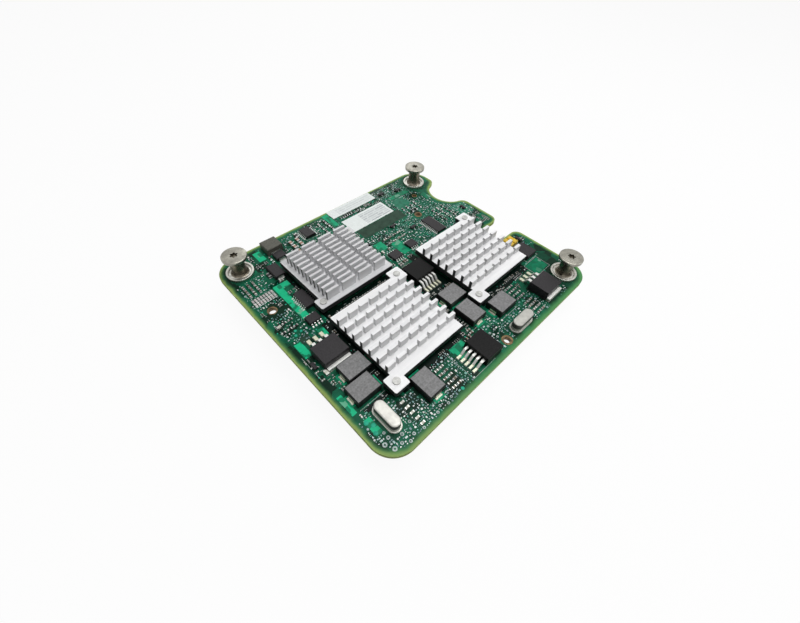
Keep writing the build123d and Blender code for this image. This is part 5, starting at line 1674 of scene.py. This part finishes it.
def build_chip_parts(scene):
    """Build every chip capacitor and resistor: body, two metal caps and a solder ramp at each end."""
    metals, seed = scene.card_metals, scene.card_parts.seed
    draw = np.random.default_rng(seed + 3)
    loose = np.concatenate([laid_out(scene)["chips"], listed_rows()])
    under = underside_layout(seed)["chips"]
    cap_tin = tinted_finish("cap_tin", CAP_STOPS, 0.34, metallic=0.75)
    solder = grained("solder", metals.solder, 0.28, 1800.0, metallic=0.85, depth=0.01, tones=(0.5, 1.4))
    caps, ramps, cap_tints = [], [], []
    for kind, (node, slot, stops) in enumerate((
        ("chip_capacitors", "capacitor_ceramic", CAPACITOR_STOPS),
        ("chip_resistors", "resistor_ceramic", RESISTOR_STOPS),
    )):
        top = np.concatenate([node_rows(node, kind, draw), loose[loose[:, 6] == kind]])
        bodies, tints = [], []
        for rows, z, way in ((top, BOARD_TOP, 1.0), (under[under[:, 6] == kind], BOARD_UNDERSIDE, -1.0)):
            body, cap, ramp_surface = chip_surfaces(rows, z, way)
            bodies.append(body)
            caps.append(cap)
            ramps.append(ramp_surface)
            tints.append(np.repeat(rows[:, 7], BLOCK_POINTS))
            shine = draw.beta(1.6, 1.6, len(rows))
            cap_tints.append(np.repeat(np.concatenate([shine, shine]), BLOCK_POINTS))
        put_piece(
            f"{node}_bodies", join(*bodies), tinted_finish(f"{node}_ceramic", stops, 0.42),
            stands_for=(node,), tint=np.concatenate(tints),
        )
    put_piece("chip_end_caps", join(*caps), cap_tin, tint=np.concatenate(cap_tints))
    put_piece("solder_ramps", join(*ramps), solder)


def build_small_transistors(scene):
    """Build the small three-lead transistors: a dark block with two leads on one side and one on the other."""
    spots = laid_out(scene)["transistors"]
    places, turns = on_board(spots), spots[:, 2] * math.pi / 2
    compound = grained("small_compound", scene.card_parts.package, 0.45, 2000.0, depth=0.006, tones=(0.6, 1.3))
    cases = blocks(places, (1.3 * MM, 2.8 * MM, 0.95 * MM), turns, chamfer=0.12 * MM)
    put_piece("small_transistors", cases, compound)
    tin = grained("small_lead_tin", scene.card_metals.dull_tin, 0.32, 2000.0, metallic=0.85)
    path = np.array([(-0.1, 0.5), (0.12, 0.5), (0.24, 0.02), (0.58, 0.0)]) * MM
    leads = []
    for end, shift in ((0.0, -0.95), (0.0, 0.95), (math.pi, 0.0)):
        ahead = turns + end
        along = headings(ahead)
        across = along[:, [1, 0, 2]] * (-1.0, 1.0, 1.0)
        starts = places + along * 0.65 * MM + across * shift * MM
        paths = np.broadcast_to(path, (len(starts), 4, 2))
        leads.append(bent_strips(starts, ahead, paths, 0.11 * MM, np.full(len(starts), 0.42 * MM)))
    put_piece("small_transistor_leads", join(*leads), tin)


def dress_labels(scene):
    """Finish the two paper labels."""
    for node, start, strength in (("edge_label", 0.16, 0.4), ("main_label", 0.36, 0.8)):
        finish_node(node, label_finish(node, scene.card_parts, start, strength))


def dress_plug(scene):
    """Finish the plug and its contacts."""
    finish_node("plug_housing", grained("plug_moulding", scene.card_parts.plug, 0.38, 1200.0, depth=0.006))
    gold = grained("gold_plate", scene.card_metals.gold, 0.24, 900.0, metallic=1.0, stretch=(1.0, 1.0, 0.08))
    finish_node("plug_contacts", gold)


def seen_straight(tree):
    """A mask of the rays that look straight at something or mirror it."""
    rays = tree.nodes.new("ShaderNodeLightPath").outputs
    seen = maths(tree, "MAXIMUM", rays["Is Camera Ray"], rays["Is Glossy Ray"])
    return maths(tree, "MAXIMUM", seen, rays["Is Transmission Ray"])


def floor_material(look):
    """A pale floor that keeps the shadow: part diffuse, part plain white for what looks straight at it."""
    material = bpy.data.materials.new("pale_floor")
    material.use_nodes = True
    tree = material.node_tree
    tree.nodes.clear()
    diffuse = add(tree, "ShaderNodeBsdfDiffuse", Color=opaque(look.floor))
    white = add(tree, "ShaderNodeEmission", Color=(1.0, 1.0, 1.0, 1.0), Strength=1.0)
    blend = tree.nodes.new("ShaderNodeMixShader")
    seen = product(tree, seen_straight(tree), FLOOR_WHITE)
    for socket, value in zip(blend.inputs, (seen, diffuse.outputs[0], white.outputs[0])):
        tree.links.new(value, socket)
    out = tree.nodes.new("ShaderNodeOutputMaterial")
    tree.links.new(blend.outputs[0], out.inputs["Surface"])
    return material


def white_surround(strength):
    """A world that is white to the eye and in reflections, and a softer light on matt surfaces."""
    world = bpy.data.worlds.new("studio")
    bpy.context.scene.world = world
    world.use_nodes = True
    tree = world.node_tree
    background = tree.nodes["Background"]
    background.inputs["Color"].default_value = (1.0, 1.0, 1.0, 1.0)
    tree.links.new(scaled(tree, seen_straight(tree), strength, 1.0), background.inputs["Strength"])


def soft_light(name, power, place, side):
    """A square soft light that looks at the middle of the card."""
    lamp = bpy.data.lights.new(name, "AREA")
    lamp.energy, lamp.size = power, side
    light = bpy.data.objects.new(name, lamp)
    light.location = place
    target = (Vector(CAD_BOX[0]) + Vector(CAD_BOX[1])) / 2
    light.rotation_euler = (target - Vector(place)).to_track_quat("-Z", "Y").to_euler()
    bpy.context.scene.collection.objects.link(light)


def set_stage(scene):
    """Floor, surround, soft lights and the camera at the photograph's angle."""
    look = scene.card_stage
    half = look.floor_side / 2
    flat = np.array([(-half, -half), (half, -half), (half, half), (-half, half)])
    mesh = bpy.data.meshes.new("floor")
    mesh.from_pydata(raised(flat, CAD_BOX[0][2] - FLOOR_DROP).tolist(), [], [(0, 1, 2, 3)])
    mesh.materials.append(floor_material(look))
    floor = bpy.data.objects.new("floor", mesh)
    scene.collection.objects.link(floor)
    white_surround(look.sky)
    for name, power, place, side in LAMPS:
        soft_light(name, getattr(look, power), place, side)
    camera_data = bpy.data.cameras.new("camera")
    camera_data.lens, camera_data.sensor_width = look.lens, SENSOR_WIDTH
    camera_data.clip_start, camera_data.clip_end = CAMERA_RANGE
    camera = bpy.data.objects.new("camera", camera_data)
    back, up = -Vector(CAMERA_AXIS).normalized(), Vector(CAMERA_UP).normalized()
    turn = Matrix((up.cross(back), up, back)).transposed()
    camera.matrix_world = Matrix.Translation(CAMERA_PLACE) @ turn.to_4x4()
    scene.collection.objects.link(camera)
    scene.camera = camera
    scene.view_settings.view_transform = "Standard"


class CARD_OT_board(bpy.types.Operator):
    """Finish the circuit board, its copper and its painted shadow areas"""

    bl_idname = "card.board"
    bl_label = "Circuit Board"

    def execute(self, context):
        dress_board(context.scene)
        return {"FINISHED"}


class CARD_OT_traces(bpy.types.Operator):
    """Run bundles of traces over both faces of the board"""

    bl_idname = "card.traces"
    bl_label = "Traces"

    def execute(self, context):
        run_traces(context.scene)
        return {"FINISHED"}


class CARD_OT_plated_holes(bpy.types.Operator):
    """Set vias, mask pads, ring pads, test pads and eyelets"""

    bl_idname = "card.plated_holes"
    bl_label = "Vias and Pads"

    def execute(self, context):
        plate_holes(context.scene)
        return {"FINISHED"}


class CARD_OT_silkscreen(bpy.types.Operator):
    """Print outlines, lines and short bars on the board"""

    bl_idname = "card.silkscreen"
    bl_label = "Silkscreen"

    def execute(self, context):
        print_silkscreen(context.scene)
        return {"FINISHED"}


class CARD_OT_heat_sinks(bpy.types.Operator):
    """Finish the heat sinks, their anchors and what they cover"""

    bl_idname = "card.heat_sinks"
    bl_label = "Heat Sinks"

    def execute(self, context):
        dress_heat_sinks(context.scene)
        return {"FINISHED"}


class CARD_OT_captive_screws(bpy.types.Operator):
    """Turn the captive screws and their sleeves"""

    bl_idname = "card.captive_screws"
    bl_label = "Captive Screws"

    def execute(self, context):
        turn_captive_screws(context.scene)
        return {"FINISHED"}


class CARD_OT_power_packages(bpy.types.Operator):
    """Finish the power packages and lay their solder pads"""

    bl_idname = "card.power_packages"
    bl_label = "Power Packages"

    def execute(self, context):
        dress_power_packages(context.scene)
        return {"FINISHED"}


class CARD_OT_inductors(bpy.types.Operator):
    """Finish the power inductors and lay their solder pads and lands"""

    bl_idname = "card.inductors"
    bl_label = "Power Inductors"

    def execute(self, context):
        dress_inductors(context.scene)
        return {"FINISHED"}


class CARD_OT_small_chips(bpy.types.Operator):
    """Finish the small chips and bend their leads"""

    bl_idname = "card.small_chips"
    bl_label = "Small Chips"

    def execute(self, context):
        dress_small_chips(context.scene)
        return {"FINISHED"}


class CARD_OT_crystal_cans(bpy.types.Operator):
    """Draw the two oval crystal cans"""

    bl_idname = "card.crystal_cans"
    bl_label = "Crystal Cans"

    def execute(self, context):
        draw_crystal_cans(context.scene)
        return {"FINISHED"}


class CARD_OT_block_capacitors(bpy.types.Operator):
    """Finish the moulded capacitors and wrap their end strips"""

    bl_idname = "card.block_capacitors"
    bl_label = "Moulded Capacitors"

    def execute(self, context):
        dress_block_capacitors(context.scene)
        return {"FINISHED"}


class CARD_OT_chip_parts(bpy.types.Operator):
    """Build the chip capacitors and resistors"""

    bl_idname = "card.chip_parts"
    bl_label = "Chip Parts"

    def execute(self, context):
        build_chip_parts(context.scene)
        return {"FINISHED"}


class CARD_OT_small_transistors(bpy.types.Operator):
    """Build the small three-lead transistors"""

    bl_idname = "card.small_transistors"
    bl_label = "Small Transistors"

    def execute(self, context):
        build_small_transistors(context.scene)
        return {"FINISHED"}


class CARD_OT_labels(bpy.types.Operator):
    """Finish the paper labels"""

    bl_idname = "card.labels"
    bl_label = "Labels"

    def execute(self, context):
        dress_labels(context.scene)
        return {"FINISHED"}


class CARD_OT_plug(bpy.types.Operator):
    """Finish the plug and its contacts"""

    bl_idname = "card.plug"
    bl_label = "Plug"

    def execute(self, context):
        dress_plug(context.scene)
        return {"FINISHED"}


class CARD_OT_stage(bpy.types.Operator):
    """Set the floor, the light and the camera"""

    bl_idname = "card.stage"
    bl_label = "Stage"

    def execute(self, context):
        set_stage(context.scene)
        return {"FINISHED"}


LOOKS = {"card_board": BoardLook, "card_parts": PartLook, "card_metals": MetalLook, "card_stage": StageLook}
OPERATORS = (
    CARD_OT_board, CARD_OT_traces, CARD_OT_plated_holes, CARD_OT_silkscreen, CARD_OT_heat_sinks,
    CARD_OT_captive_screws, CARD_OT_power_packages, CARD_OT_inductors, CARD_OT_small_chips, CARD_OT_crystal_cans,
    CARD_OT_block_capacitors, CARD_OT_chip_parts, CARD_OT_small_transistors, CARD_OT_labels, CARD_OT_plug,
    CARD_OT_stage,
)


class CARD_PT_looks(bpy.types.Panel):
    """The card's looks and the steps that build them"""

    bl_idname = "CARD_PT_looks"
    bl_label = "Mezzanine Card"
    bl_space_type = "VIEW_3D"
    bl_region_type = "UI"
    bl_category = "Card"

    def draw(self, context):
        for name in LOOKS:
            box = self.layout.box()
            look = getattr(context.scene, name)
            for key in look.bl_rna.properties.keys():
                if key not in ("rna_type", "name"):
                    box.prop(look, key)
        for operator in OPERATORS:
            self.layout.operator(operator.bl_idname)


CLASSES = (*LOOKS.values(), *OPERATORS, CARD_PT_looks)


def register():
    """Register every class and hang the looks on the scene."""
    for made in CLASSES:
        bpy.utils.register_class(made)
    for name, look in LOOKS.items():
        setattr(bpy.types.Scene, name, PointerProperty(type=look))


def unregister():
    """Take the looks off the scene and unregister every class."""
    for name in LOOKS:
        delattr(bpy.types.Scene, name)
    for made in reversed(CLASSES):
        bpy.utils.unregister_class(made)


def main():
    """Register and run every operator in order."""
    register()
    for operator in OPERATORS:
        area, name = operator.bl_idname.split(".")
        getattr(getattr(bpy.ops, area), name)()


if __name__ == "__main__":
    main()
